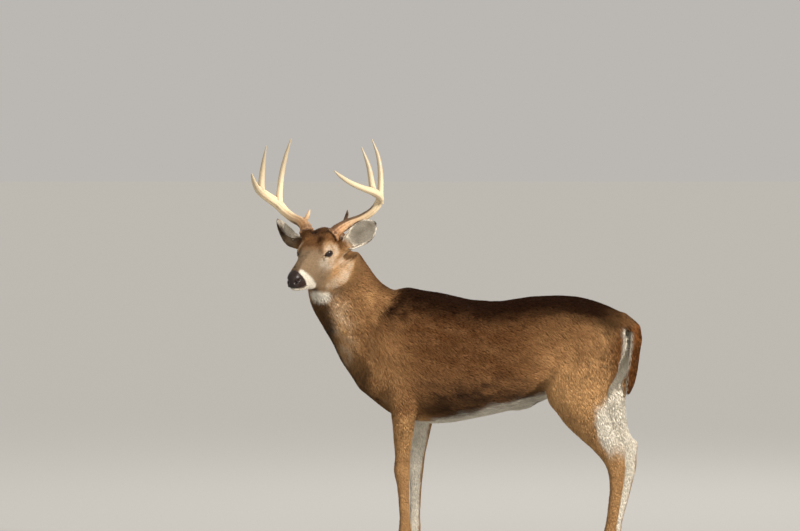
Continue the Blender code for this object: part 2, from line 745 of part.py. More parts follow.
def make_leg(name, flesh, looks, box):
    _, _, _, _, _, joint, _ = LEGS[name]
    low, high = box
    mesh = flesh.copy()
    for axis in range(3):
        normal = Vector([1.0 if k == axis else 0.0 for k in range(3)])
        mesh = keep_side(mesh, low, normal, -0.012)
        mesh = keep_side(mesh, high, -normal, -0.012)
    whole = simplified(mesh, FACES["upper_leg"] + FACES["lower_leg"])
    pieces = []
    for part, bottom, top in (("upper", joint + GAP / 2, high.z), ("lower", -1, joint - GAP / 2)):
        piece = whole.copy()
        for axis, (start, end) in enumerate(((low.x, high.x), (low.y, high.y), (bottom, top))):
            normal = Vector([1.0 if k == axis else 0.0 for k in range(3)])
            piece = keep_side(piece, normal * start, normal)
            piece = keep_side(piece, normal * end, -normal)
        if part == "lower":
            foot, tilt = coronet_plane(name)
            piece = keep_side(piece, foot, tilt)
        pieces.append(add_object(name + "_" + part, piece, looks["leg_coat"]))
    return pieces


def foot_middle(name):
    """The middle of the foot at the coronet."""
    stations, side, swing, swing_top, *_ = LEGS[name]
    rows = leg_stations(stations, side, swing, swing_top)
    x, y = (float(np.interp(-CORONET_HEIGHT, -rows[:, 2], rows[:, k])) for k in (0, 1))
    return Vector((x, y, CORONET_HEIGHT))


def coronet_plane(name):
    """The seat of the hooves: it falls to the rear of the foot."""
    tilt = Vector((math.sin(CORONET_SLOPE), 0, math.cos(CORONET_SLOPE)))
    return foot_middle(name), tilt


def claw_ring(foot, side_sign, height_share, count=12):
    """A slice of one claw, from its sole (0) to the coronet (1)."""
    toe = CLAW_TOE * (1 - 0.62 * height_share)
    heel = CLAW_HEEL * (1 - 0.02 * height_share)
    half = CLAW_HALF_WIDTH * (1 - 0.04 * height_share)
    ring = []
    for k in range(count):
        angle = 2 * math.pi * k / count
        ahead = math.cos(angle)
        along = toe * ahead if ahead > 0 else heel * ahead
        point_in = 1 - 0.55 * max(0.0, ahead) ** 2
        across = half * math.sin(angle) * point_in
        x = foot.x - along
        y = foot.y + side_sign * CLAW_SPREAD * (1 - 0.18 * max(0.0, ahead)) + across
        coronet = foot.z - math.tan(CORONET_SLOPE) * (x - foot.x) - 2 * GAP
        ring.append(Vector((x, y, coronet * height_share)))
    return ring


def make_hooves(name, looks, lower):
    foot = foot_middle(name)
    made = []
    for which, sign in (("outer", SIDES[LEGS[name][1]]), ("inner", -SIDES[LEGS[name][1]])):
        rings = [claw_ring(foot, sign, share) for share in (0.0, 0.12, 0.55, 1.0)]
        made.append(add_object(name + "_hoof_" + which, loft(rings), looks["hoof_horn"]))
        made.append(make_dewclaw(name, which, sign, looks, lower))
    return made


def fetlock(name):
    stations, side, swing, swing_top, *_ = LEGS[name]
    rows = leg_stations(stations, side, swing, swing_top)
    return Vector(rows[10 * 3][:3])


def make_dewclaw(name, which, sign, looks, lower):
    centre = fetlock(name) + Vector((DEWCLAW_BACK, sign * DEWCLAW_SPREAD, -DEWCLAW_DROP))
    axes = (Vector((0.85, 0, 0.53)), Vector((0, 1, 0)), Vector((-0.53, 0, 0.85)))
    grown = tuple(size + GAP for size in DEWCLAW_SIZE)
    cutter = add_object(name + "_dew_seat_" + which, ellipsoid(centre, axes, grown, 6, 5))
    boolean(lower, as_cutter(cutter))
    mesh = ellipsoid(centre, axes, DEWCLAW_SIZE, 6, 5)
    return add_object(name + "_dewclaw_" + which, mesh, looks["hoof_horn"])


def make_ear(name, looks):
    """A leaf-shaped cup with an even wall."""
    _, _, along, across, opening = ear_frame(name)
    curl = EARS[name][3]
    arc = 7
    rings = []
    for share, half_width, half_angle in smooth_rows(EAR, 1):
        spread = math.radians(min(half_angle * curl, EAR[0][2]))
        radius = half_width / math.sin(min(spread, math.pi / 2))
        centre = ear_centre(name, share) + opening * radius * max(math.cos(spread), 0.0)
        if share == EAR_STARTS:
            centre += along * GAP
        outer, inner = [], []
        wall = min(EAR_WALL, radius * 0.7)
        for k in range(arc):
            angle = -spread + 2 * spread * k / (arc - 1)
            out = across * math.sin(angle) - opening * math.cos(angle)
            outer.append(centre + out * radius)
            inner.append(centre + out * (radius - wall))
        rings.append(outer + inner[::-1])
    return add_object("ear_" + name, loft(rings), looks["face_coat"])


def make_antler(side, looks):
    """The beam in three lengths, parted at its forks, with a tine rising at each."""
    name = "antler_" + side
    sign = HEAD_SIDES[side]
    beam = BEAM[side]
    rows = smooth_rows(beam, 2, 3)
    rows[:, 1] *= sign
    last_fork = beam[BEAM_FORKS[1]][0]
    rows[:, 2] += BEAM_LIFT[side] * ramp(rows[:, 0], last_fork, beam[-1][0])
    centres = [level_point(*row[:3]) for row in rows]
    radii = [float(row[3]) for row in rows]
    seat, axis = pedicle_axis(side)
    first, second = (fork * 2 + 1 for fork in BEAM_FORKS)
    burr_rows = [seat + axis * GAP, seat + axis * BURR[1] * 0.5, seat + axis * BURR[1]]
    lower_centres = burr_rows + [c for c in centres[1:first + 1] if (c - seat).length > 0.02]
    lower_radii = [BURR[0] * 0.93, BURR[0], radii[0]]
    lower_radii += [radii[i] for i in range(1, first + 1) if (centres[i] - seat).length > 0.02]
    made = {}
    lengths = {
        "beam_low": (lower_centres, lower_radii),
        "beam_mid": (centres[first:second + 1], radii[first:second + 1]),
        "beam_tip": (centres[second:], radii[second:]),
    }
    for part, (line, sizes) in lengths.items():
        line = list(line)
        if part != "beam_low":
            line[0] = line[0] + (line[1] - line[0]).normalized() * GAP
        joint = None
        if part == "beam_low":
            joint = axis
        made[part] = add_object(name + "_" + part, beam_length(line, sizes, joint, centres),
                                looks["antler_bone"])
    for tine, stations in TINES.items():
        rows = smooth_rows(stations, 2, 3)
        line = [level_point(a, b * sign, c) for a, b, c, _ in rows]
        made[tine] = add_object(name + "_tine_" + tine, tube(line, rows[:, 3], 8),
                                looks["antler_bone"])
    cut_tines(name, made)
    return made


def beam_length(line, sizes, start_normal, whole):
    """One length of the beam; its end faces stand square to the whole beam's course."""
    def course(point):
        near = min(range(len(whole)), key=lambda i: (whole[i] - point).length)
        before, after = whole[max(near - 1, 0)], whole[min(near + 1, len(whole) - 1)]
        return (after - before).normalized()

    rings = []
    side = None
    for i, (centre, radius) in enumerate(zip(line, sizes)):
        along = start_normal if i < 3 and start_normal is not None else course(centre)
        if side is None:
            side = along.orthogonal()
        side = (side - along * side.dot(along)).normalized()
        rings.append(oval(centre, side, along.cross(side), radius, radius, radius, count=10))
    return loft(rings)


def cut_tines(name, made):
    """Hollow each tine's root to the beam it stands on, with the usual clearance."""
    seats = {"brow": ("beam_low",), "second": ("beam_low", "beam_mid"),
             "third": ("beam_mid", "beam_tip")}
    for tine, beams in seats.items():
        for beam in beams:
            mesh = made[beam].data.copy()
            cutter = as_cutter(add_object(name + "_" + tine + "_on_" + beam, mesh))
            swell = cutter.modifiers.new("clearance", "DISPLACE")
            swell.strength = GAP
            swell.mid_level = 0.0
            boolean(made[tine], cutter)


def make_tail(looks):
    rows = smooth_rows([(x, 0.0, z, thick, half) for x, z, thick, half in TAIL], 1, 3)
    slopes = np.gradient(rows[:, :3], axis=0)
    seat, axis = TAIL_PLANE
    rings = []
    for row, slope in zip(rows, slopes):
        along = Vector(slope).normalized()
        thick = along.cross(Vector((0, 1, 0))).normalized()
        rings.append(
            oval(Vector(row[:3]), Vector((0, 1, 0)), thick, row[4], row[3], row[3], count=14)
        )
    mesh = keep_side(loft(rings), seat, axis, GAP)
    return add_object("tail", mesh, looks["tail_coat"])


# ------------------------------------------------------------------ assembly
def stand_on_origin(pieces):
    """Hang everything from one empty that brings the model's middle over the origin."""
    bpy.context.view_layer.update()
    depsgraph = bpy.context.evaluated_depsgraph_get()
    corners = []
    for piece in pieces:
        ready = piece.evaluated_get(depsgraph)
        corners += [ready.matrix_world @ vert.co for vert in ready.data.vertices]
    middle = [(min(c[k] for c in corners) + max(c[k] for c in corners)) / 2 for k in (0, 1)]
    stand = bpy.data.objects.new("deer", None)
    bpy.context.scene.collection.objects.link(stand)
    for thing in list(bpy.context.scene.collection.objects):
        if thing is not stand:
            thing.parent = stand
    stand.location = (-middle[0], -middle[1], 0.0)
    bpy.context.view_layer.update()


def build():
    clear_scene()
    looks = make_materials()
    flesh = flesh_mesh()
    boxes = {name: leg_box(name) for name in LEGS}
    pieces = [make_head(flesh, looks), make_neck(flesh, looks)]
    pieces.append(make_trunk(flesh, looks, boxes))
    for name in LEGS:
        upper, lower = make_leg(name, flesh, looks, boxes[name])
        pieces += [upper, lower] + make_hooves(name, looks, lower)
    for name in HEAD_SIDES:
        pieces.append(add_object("eye_" + name, eye_mesh(name), looks["eye_dark"]))
        pieces.append(make_ear(name, looks))
        pieces += make_antler(name, looks).values()
    pieces.append(make_tail(looks))
    stand_on_origin(pieces)


build()
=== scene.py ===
# %% [markdown]
# # A white-tailed buck in winter coat
# A life-size standing model. The solid parts come ready made and hold the true outline, out
# to the tips of the hair. This lesson gives them a living surface: one skin under the whole
# animal, a coat of small solid tufts that lie the way a deer's hair lies, wet eyes, horn
# hooves and bone antlers.

# %% Load the fixed frame
import json
import math
import bmesh
import bpy
import numpy as np
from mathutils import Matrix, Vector, noise
from mathutils.bvhtree import BVHTree

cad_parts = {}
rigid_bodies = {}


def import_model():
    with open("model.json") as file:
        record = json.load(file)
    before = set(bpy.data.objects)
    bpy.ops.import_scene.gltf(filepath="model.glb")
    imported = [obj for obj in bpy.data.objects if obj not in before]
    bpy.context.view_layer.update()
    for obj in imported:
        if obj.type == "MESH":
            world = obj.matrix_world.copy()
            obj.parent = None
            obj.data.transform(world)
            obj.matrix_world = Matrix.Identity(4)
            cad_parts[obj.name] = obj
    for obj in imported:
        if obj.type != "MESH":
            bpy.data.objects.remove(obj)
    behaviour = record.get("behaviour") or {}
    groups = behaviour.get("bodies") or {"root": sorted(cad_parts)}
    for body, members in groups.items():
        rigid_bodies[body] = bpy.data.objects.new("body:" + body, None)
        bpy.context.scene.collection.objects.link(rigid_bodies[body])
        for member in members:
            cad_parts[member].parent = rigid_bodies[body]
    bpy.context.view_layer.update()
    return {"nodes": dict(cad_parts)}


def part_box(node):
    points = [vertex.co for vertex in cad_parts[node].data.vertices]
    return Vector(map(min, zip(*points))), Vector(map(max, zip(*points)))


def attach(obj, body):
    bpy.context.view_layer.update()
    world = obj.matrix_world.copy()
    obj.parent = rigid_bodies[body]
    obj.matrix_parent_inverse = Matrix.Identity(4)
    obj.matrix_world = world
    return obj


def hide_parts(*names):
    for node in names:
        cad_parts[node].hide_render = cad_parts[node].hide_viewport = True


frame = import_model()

# %% [markdown]
# ## Places on the animal
# Everything is placed from a few landmarks. The eyes are easy to find on any animal, so the
# point midway between them is the anchor, and the withers, the top of the shoulders, lie a
# known step behind it. Each part has its own measure: the trunk counts from the withers, the
# head counts ahead of the eyes, to the left of them and above them. Points are kept as rows
# of a numpy table, because a formula then works on a hundred thousand points at once.

# %% Landmarks
HEADING = np.array((-0.139, -0.990, 0.0)) / math.hypot(0.139, 0.990)
HEAD_LEFT = np.array((0.990, -0.139, 0.0)) / math.hypot(0.139, 0.990)
NOSE_DOWN = math.radians(13)
FORWARD = HEADING * math.cos(NOSE_DOWN) - np.array((0, 0, math.sin(NOSE_DOWN)))
SKULL_UP = HEADING * math.sin(NOSE_DOWN) + np.array((0, 0, math.cos(NOSE_DOWN)))
EYE_RISE = 0.0030
WITHERS_TO_EYES = np.array((-0.2207, -0.180, 1.084))
SIDES = {"left": 1.0, "right": -1.0}


def middle(node):
    """The middle of a solid part's box."""
    low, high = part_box(node)
    return (np.array(low) + np.array(high)) / 2


EYE_LINE = (middle("eye_left") + middle("eye_right")) / 2 - SKULL_UP * EYE_RISE
WITHERS = EYE_LINE - WITHERS_TO_EYES
print("eyes at", EYE_LINE.round(3), "withers over", WITHERS.round(3))


# %% Measures that turn places into numbers and back
def trunk_measure(points):
    """Behind the withers, to the deer's right, above the ground."""
    return (points - WITHERS).T


def skull_measure(points):
    """Ahead of the eyes, to the left, above the eyes, along the tilted head."""
    away = points - EYE_LINE
    return away @ FORWARD, away @ HEAD_LEFT, away @ SKULL_UP


def skull_point(ahead, left, above):
    """The point at such a place in the head's own measure."""
    return EYE_LINE + FORWARD * ahead + HEAD_LEFT * left + SKULL_UP * above


def level_point(ahead, left, above):
    """The same for a measure that stays level when the nose dips."""
    return EYE_LINE + HEADING * ahead + HEAD_LEFT * left + np.array((0.0, 0.0, above))


def unit(rows):
    """Each row scaled to a length of 1."""
    rows = np.asarray(rows, float)
    length = np.linalg.norm(rows, axis=-1, keepdims=True)
    return rows / np.maximum(length, 1e-9)


print("the nose points", FORWARD.round(2), "and the top of the skull", SKULL_UP.round(2))


# %% Soft steps and bumps
def ramp(value, start, end):
    """0 before start and 1 past end, with a soft turn at both."""
    share = np.clip((value - start) / (end - start), 0.0, 1.0)
    return share * share * (3.0 - 2.0 * share)


def band(value, start, full, fade, end):
    """0 before start, 1 from full to fade, and 0 past end."""
    return ramp(value, start, full) * ramp(value, end, fade)


def hump(value, centre, width):
    """1 at the centre, falling away to both sides like a bell."""
    return np.exp(-(((value - centre) / width) ** 2))


def blob(measure, centre, radii):
    """1 at the centre of a soft egg, 0.37 at its radii."""
    total = sum(((axis - c) / r) ** 2 for axis, c, r in zip(measure, centre, radii))
    return np.exp(-total)


def ripple(points, size, seed=0.0):
    """Smooth noise from -1 to 1 with features of the given size."""
    shift = Vector((seed, seed * 1.7, -seed))
    return np.array([noise.noise(Vector(p) / size + shift) for p in points.tolist()])


print("a ramp at its quarters:", ramp(np.linspace(0.0, 1.0, 5), 0.0, 1.0))


# %% [markdown]
# ## One skin for the whole animal
# The solid parts of the flesh meet at thin gaps, and a gap would show as a seam in the coat.
# A voxel remesh is the simplest cure: the parts are swollen by a hair, joined, and rebuilt as
# one closed surface. The eyeballs join in too, so that the sockets fill and can be opened
# again later as eyelids. The head keeps the fine grain, and the body is thinned, because the
# coat will cover it.

# %% Name the flesh
def is_flesh(name):
    """True for all the parts but horn, antlers and eyes."""
    horn = "hoof" in name or "dewclaw" in name
    return not (horn or name.startswith(("antler", "eye")))


FLESH = sorted(filter(is_flesh, frame["nodes"]))
EYES = sorted(name for name in frame["nodes"] if name.startswith("eye"))
print("flesh:", len(FLESH), "parts, and", len(EYES), "eyes")


# %% Read and write a mesh as tables of numbers
def read_rows(items, what, width, kind=float):
    """One row of numbers for each item, such as the three coordinates of each point."""
    flat = np.empty(len(items) * width, dtype=kind)
    items.foreach_get(what, flat)
    return flat.reshape(-1, width)


def mesh_points(mesh):
    """The places of a mesh's points."""
    return read_rows(mesh.vertices, "co", 3)


def mesh_normals(mesh):
    """The way out from the surface at each point."""
    return read_rows(mesh.vertex_normals, "vector", 3)


def mesh_edges(mesh):
    """The pair of points at the ends of each edge."""
    return read_rows(mesh.edges, "vertices", 2, np.int32)


def set_points(mesh, points):
    """Moves the points of a mesh to new places."""
    mesh.vertices.foreach_set("co", np.ascontiguousarray(points, dtype=np.float32).ravel())
    mesh.update()


def finished(work, name):
    """Writes worked faces into a new mesh and frees them."""
    mesh = bpy.data.meshes.new(name)
    work.to_mesh(mesh)
    work.free()
    return mesh


def new_object(name, mesh):
    """An object in the scene for a mesh, a camera or a lamp."""
    thing = bpy.data.objects.new(name, mesh)
    bpy.context.scene.collection.objects.link(thing)
    return thing


# %% Join the flesh
SWELL = 0.0006
SAME_POINT = 1e-5
GRAIN = 0.003


def swollen(name, swell):
    """A copy of the named part, a little larger."""
    part = bmesh.new()
    part.from_mesh(frame["nodes"][name].data)
    bmesh.ops.remove_doubles(part, verts=part.verts, dist=SAME_POINT)
    bmesh.ops.recalc_face_normals(part, faces=part.faces)
    part.normal_update()
    for vert in part.verts:
        vert.co += vert.normal * swell
    return finished(part, name + "_copy")


def joined(meshes):
    """One mesh that holds all the given ones, which are removed."""
    whole = bmesh.new()
    for mesh in meshes:
        whole.from_mesh(mesh)
        bpy.data.meshes.remove(mesh)
    return finished(whole, "joined")


print("each part is swollen by", SWELL * 1000, "mm")


# %% Rebuild it as one surface of small even faces
def evaluated(thing):
    """The object's mesh with its modifiers taken up. The object itself is removed."""
    graph = bpy.context.evaluated_depsgraph_get()
    result = bpy.data.meshes.new_from_object(thing.evaluated_get(graph))
    bpy.data.objects.remove(thing)
    return result


def remeshed(mesh, grain):
    """The mesh rebuilt as one closed surface of small even faces."""
    thing = new_object("remesh", mesh)
    modifier = thing.modifiers.new("Remesh", "REMESH")
    modifier.mode = "VOXEL"
    modifier.voxel_size = grain
    return evaluated(thing)


rough = remeshed(joined([swollen(name, SWELL) for name in FLESH + EYES]), GRAIN)
print("rough skin:", len(rough.vertices), "points")


# %% Smooth along the edges
def smooth_values(edges, values, rounds, strength=0.5):
    """Averages a value, or a row of values, with its neighbours' along the edges."""
    values = np.array(values, float)
    count = len(values)
    degree = np.bincount(edges.ravel(), minlength=count).astype(float)
    columns = values.reshape(count, -1)
    amount = np.broadcast_to(np.asarray(strength, float).reshape(-1, 1), (count, 1))
    for _ in range(rounds):
        total = np.empty_like(columns)
        for axis in range(columns.shape[1]):
            one = np.bincount(edges[:, 0], weights=columns[edges[:, 1], axis], minlength=count)
            two = np.bincount(edges[:, 1], weights=columns[edges[:, 0], axis], minlength=count)
            total[:, axis] = (one + two) / np.maximum(degree, 1.0)
        columns = columns + (total - columns) * amount
    return columns.reshape(values.shape)


edges = mesh_edges(rough)
print("rough skin:", len(edges), "edges")


# %% Find the part that each point belongs to
def node_tree(names):
    """A search tree over the named parts, and the part that each of its faces belongs to."""
    points = []
    faces = []
    owners = []
    for index, name in enumerate(names):
        mesh = frame["nodes"][name].data
        start = len(points)
        points += [vert.co.copy() for vert in mesh.vertices]
        faces += [[start + i for i in face.vertices] for face in mesh.polygons]
        owners += [index] * len(mesh.polygons)
    return BVHTree.FromPolygons(points, faces), np.array(owners)


def nearest_part(points, names):
    """For each point, the index of the named part that lies nearest."""
    tree, owners = node_tree(names)
    hits = [tree.find_nearest(Vector(p))[2] for p in points.tolist()]
    return owners[np.array(hits)]


def belongs(labels, start):
    """True where the nearest part's name starts so."""
    chosen = [index for index, name in enumerate(FLESH) if name.startswith(start)]
    return np.isin(labels, chosen)


points = mesh_points(rough)
labels = nearest_part(points, FLESH)
print("points on the trunk:", belongs(labels, "trunk").sum())


# %% Smooth away the facets
SMOOTH_ROUNDS = 10
EAR_ROUNDS = 14
EAR_EDGE_ROUNDS = 6
EAR_SWELL = -0.51  # each round of smoothing is undone for size, which keeps the ear's thin wall
TAIL_TOP = 0.80  # below this height the tail is drawn up,
TAIL_SHARE = 0.86  # to this share of its length, to leave room for the hair at its end
is_ear = smooth_values(edges, belongs(labels, "ear").astype(float), EAR_EDGE_ROUNDS)
before = points.copy()
points = smooth_values(edges, points, SMOOTH_ROUNDS, 0.5 * (1.0 - is_ear))
for _ in range(EAR_ROUNDS):
    points = smooth_values(edges, points, 1, 0.5 * is_ear)
    points = smooth_values(edges, points, 1, EAR_SWELL * is_ear)
is_tail = belongs(labels, "tail") & (points[:, 2] < TAIL_TOP)
points[is_tail, 2] = TAIL_TOP + (points[is_tail, 2] - TAIL_TOP) * TAIL_SHARE
set_points(rough, points)
print("the facets moved", round(float(np.abs(points - before).max() * 1000), 1), "mm at most")

# %% Thin the body
HEAD_MIDDLE = skull_point(0.015, 0.0, -0.02)
HEAD_REACH = 0.150  # how far from the middle of the head the fine grain is kept
BODY_SHARE = 0.225  # share of the triangles that is left after thinning


def shares_near(points, centre, reach, fade=0.03):
    """1 within reach of the centre, fading to 0."""
    return 1.0 - ramp(np.linalg.norm(points - centre, axis=1), reach, reach + fade)


def thinned(mesh, keep, share):
    """The mesh with fewer triangles wherever keep is 0."""
    thing = new_object("thin", mesh)
    group = thing.vertex_groups.new(name="keep")
    group.add([int(i) for i in np.nonzero(keep > 0.5)[0]], 1.0, "REPLACE")
    thing.modifiers.new("Triangulate", "TRIANGULATE")
    modifier = thing.modifiers.new("Decimate", "DECIMATE")
    modifier.ratio = share
    modifier.vertex_group = "keep"
    modifier.invert_vertex_group = True
    return evaluated(thing)


skin_mesh = thinned(rough, shares_near(points, HEAD_MIDDLE, HEAD_REACH), BODY_SHARE)
print("skin:", len(skin_mesh.vertices), "points,", len(skin_mesh.polygons), "triangles")

# %% [markdown]
# ## How the hair is laid
# A coat is ruled by three things at each place: how deep it stands over the skin, how long
# its hairs are, and which way they point. Depth and length change from part to part, so each
# part gets its own pair of numbers and the steps between parts are smoothed along the skin.
# Length runs from under a centimetre on the nose to four centimetres on the tail.

# %% The bare nose
PAD_BACK = 0.157  # where the bare nose starts on the bridge
PAD_SLANT = 0.60  # it starts further back towards the lips
PAD_BEND = -0.028  # below this height
PAD_EDGE = 0.0012  # half the width of its soft border
LIP_BORDER = 0.002  # how far the black reaches below the line between the lips
LIP_TIP = (0.178, -0.0745)  # ahead of the eyes and above them, where that line turns level
LIP_SLOPE = 0.11


def mouth_height(ahead):
    """Height of the line between the lips."""
    return LIP_TIP[1] - LIP_SLOPE * np.maximum(LIP_TIP[0] - ahead, 0.0)


def nose_pad(points):
    """1 on the bare nose."""
    ahead, _, above = skull_measure(points)
    back = PAD_BACK - PAD_SLANT * np.maximum(PAD_BEND - above, 0.0)
    reach = np.minimum(ahead - back, above - mouth_height(ahead) + LIP_BORDER)
    return ramp(reach, -PAD_EDGE, PAD_EDGE)


points = mesh_points(skin_mesh)
labels = nearest_part(points, FLESH)
print("points on the bare nose:", int(nose_pad(points).sum()))

# %% Depth and length of the coat in each part
COAT = {  # part: depth of the coat, length of its hair
    "trunk": (0.0072, 0.031),
    "neck": (0.0086, 0.030),
    "head": (0.0032, 0.0115),
    "ear": (0.0008, 0.010),
    "leg": (0.0030, 0.015),
    "tail": (0.0042, 0.040),
}
NAPE_DEPTH = 0.0072  # where the short coat of the head turns into that of the neck
COAT_ROUNDS = 8  # rounds of smoothing between the parts
HEAD_ROUNDS = 60


def from_table(table, column, labels):
    """A number from a table of parts, at each point of the skin."""
    field = np.zeros(len(labels))
    for part, numbers in table.items():
        field[belongs(labels, part)] = numbers[column]
    return field


print("parts with a coat:", len(COAT))


# %% How deep the coat stands
def coat_depth(points, labels, edges):
    """How deep the coat stands over the skin: deeper down the neck and up the legs."""
    z = trunk_measure(points)[2]
    ahead = skull_measure(points)[0]
    head = belongs(labels, "head")
    neck = belongs(labels, "neck")
    depth = from_table(COAT, 0, labels)
    depth = np.where(head, depth + (NAPE_DEPTH - depth) * ramp(ahead, 0.07, -0.08), depth)
    depth = np.where(neck, NAPE_DEPTH + (depth - NAPE_DEPTH) * ramp(z, 1.03, 0.88), depth)
    on_leg = depth * (1.0 + 1.6 * ramp(z, 0.34, 0.58)) * (1.0 - 0.85 * ramp(z, 0.110, 0.045))
    depth = np.where(belongs(labels, "leg"), on_leg, depth)
    on_tail = depth * (0.25 + 0.75 * ramp(z, 0.58, 0.72))
    depth = np.where(belongs(labels, "tail"), on_tail, depth)
    depth = smooth_values(edges, depth, COAT_ROUNDS)
    return smooth_values(edges, depth, HEAD_ROUNDS, 0.5 * (head | neck))


print("the nape is", NAPE_DEPTH * 1000, "mm deep")


# %% How long the hair is
def coat_length(points, labels, edges):
    """How long the hair is: longer behind the head, up the legs and on the rump."""
    x, _, z = trunk_measure(points)
    ahead = skull_measure(points)[0]
    length = from_table(COAT, 1, labels)
    on_head = length * (0.72 + 1.3 * ramp(ahead, 0.07, -0.08))
    length = np.where(belongs(labels, "head"), on_head, length)
    on_neck = length * (0.60 + 0.40 * ramp(z, 1.03, 0.88))
    length = np.where(belongs(labels, "neck"), on_neck, length)
    on_leg = length * (1.0 + 1.2 * ramp(z, 0.34, 0.58)) * (1.0 - 0.25 * ramp(z, 0.110, 0.045))
    length = np.where(belongs(labels, "leg"), on_leg, length)
    rear = ramp(x, 0.66, 0.86) * ramp(z, 0.90, 0.70)
    length = np.where(belongs(labels, "trunk"), length * (1.0 + 0.25 * rear), length)
    return smooth_values(edges, length, COAT_ROUNDS)


def coat_fields(points, labels, edges):
    """Depth and length of the coat, both less round the eyes, and no depth on the nose."""
    eyes = sum(shares_near(points, middle(name), 0.020, 0.014) for name in EYES)
    depth = coat_depth(points, labels, edges) * (1.0 - nose_pad(points)) * (1.0 - 0.5 * eyes)
    return depth, coat_length(points, labels, edges) * (1.0 - 0.45 * eyes)


edges = mesh_edges(skin_mesh)
depth, length = coat_fields(points, labels, edges)
points = points - mesh_normals(skin_mesh) * depth[:, None]
set_points(skin_mesh, points)
print("coat from", round(depth.min() * 1000, 1), "to", round(depth.max() * 1000, 1), "mm deep")

# %% [markdown]
# ## The fine forms of the face
# Lids, nostrils and lips need points closer together than the rest of the skin, so the mesh
# is cut finer just there, and then the points are moved by formulas. For an eyelid the
# formula works on a ball: outside the almond of the opening the skin rests on the eyeball
# with a raised rim, and inside it dives behind the eyeball, which leaves a crisp edge.

# %% Places round the eyes and the nose
EYE_RADIUS = 0.0172
LID = 0.0012  # thickness of the lid
EYE_PLACE = (0.0, 0.0510, EYE_RISE)
EYE_FINE = 0.027  # how far round the eye the first cut reaches
EYE_FINEST = EYE_FINE - 0.005  # and the second
EYE_FADE = 0.004
DUCT_FINE = 0.017
NOSE_FINE = 0.135  # how far ahead of the eyes the first cut starts
NOSE_FINEST = 0.166
NOSE_FADE = 0.006
RELAX_ROUNDS = 3


def eye_centre(side):
    """The middle of the eyeball."""
    ahead, left, above = EYE_PLACE
    return skull_point(ahead, left * SIDES[side], above)


def duct_middle(side):
    """The middle of the tear duct, ahead of the eye."""
    return skull_point(0.034, 0.050 * SIDES[side], -0.010)


print("left eye at", eye_centre("left").round(3))


# %% Cut the mesh finer there
def finer(mesh, chosen):
    """Cuts every edge in half whose two ends are chosen."""
    work = bmesh.new()
    work.from_mesh(mesh)
    flags = chosen.tolist()
    cut = [e for e in work.edges if flags[e.verts[0].index] and flags[e.verts[1].index]]
    bmesh.ops.subdivide_edges(work, edges=cut, cuts=1, use_grid_fill=True, smooth=0.0)
    bmesh.ops.triangulate(work, faces=[f for f in work.faces if len(f.verts) > 3])
    work.to_mesh(mesh)
    work.free()
    return len(mesh.polygons)


for eye_reach, nose_start in ((EYE_FINE, NOSE_FINE), (EYE_FINEST, NOSE_FINEST)):
    points = mesh_points(skin_mesh)
    wanted = skull_measure(points)[0] > nose_start
    for side in SIDES:
        wanted |= np.linalg.norm(points - eye_centre(side), axis=1) < eye_reach
        wanted |= np.linalg.norm(points - duct_middle(side), axis=1) < DUCT_FINE
    total = finer(skin_mesh, wanted)
    points = mesh_points(skin_mesh)
    relaxed = smooth_values(mesh_edges(skin_mesh), points, RELAX_ROUNDS)
    near = sum(shares_near(points, eye_centre(side), eye_reach, EYE_FADE) for side in SIDES)
    near += ramp(skull_measure(points)[0], nose_start, nose_start + NOSE_FADE)
    near = np.clip(near, 0, 1)
    set_points(skin_mesh, points + (relaxed - points) * near[:, None])
print("skin with fine eyes and nose:", total, "triangles")


# %% The eye's own measure
FRONT_OPENING = 0.0225  # length of the opening ahead of the middle
BACK_OPENING = 0.0215
UPPER_OPENING = 0.0090  # height of the opening above the slit
LOWER_OPENING = 0.0072
SLIT_TILT = math.radians(5)  # the front corner lies lower
EYE_LOOK = (0.52, 0.85, 0.08)  # ahead, out and up


def eye_axes(side):
    """Outward, along the slit to the front corner, and up across it."""
    ahead, out, up = EYE_LOOK
    outward = unit(FORWARD * ahead + HEAD_LEFT * SIDES[side] * out + SKULL_UP * up)
    slit = FORWARD * math.cos(SLIT_TILT) - SKULL_UP * math.sin(SLIT_TILT)
    slit = unit(slit - outward * (slit @ outward))
    rise = np.cross(outward, slit)
    return outward, slit, rise * np.sign(rise @ SKULL_UP)


def eye_measure(points, side):
    """Along the slit, up across it, distance from the eye's centre, and distance from the
    edge of the opening, which is less than 0 inside it."""
    outward, slit, rise = eye_axes(side)
    away = points - eye_centre(side)
    radius = np.linalg.norm(away, axis=1)
    facing = away @ outward
    along = np.arctan2(away @ slit, facing) * EYE_RADIUS
    across = np.arctan2(away @ rise, facing) * EYE_RADIUS
    limit = np.where(across > 0, UPPER_OPENING, LOWER_OPENING)
    reach = np.where(along > 0, FRONT_OPENING, BACK_OPENING)
    shape = np.clip(1.0 - (along / reach) ** 2, 0.0, 1.0)
    inside = np.abs(across) - limit * shape ** 0.8
    beyond = np.hypot(np.maximum(np.abs(along) - reach, 0.0), across)
    edge = np.where(np.abs(along) < reach, inside, beyond)
    return along, across, radius, np.where(facing > 0, edge, 1.0)


print("opening of the eye turned", round(math.degrees(SLIT_TILT)), "degrees")


# %% Lay the lids on the eyeballs
LID_RIM = 0.0009  # how far the rim of the lid stands up
LID_CREASE = 0.0007
LID_DIVE = 0.0055  # how far the skin drops behind the eyeball inside the opening
LID_REACH = 0.013  # how far from the opening the skin is reshaped


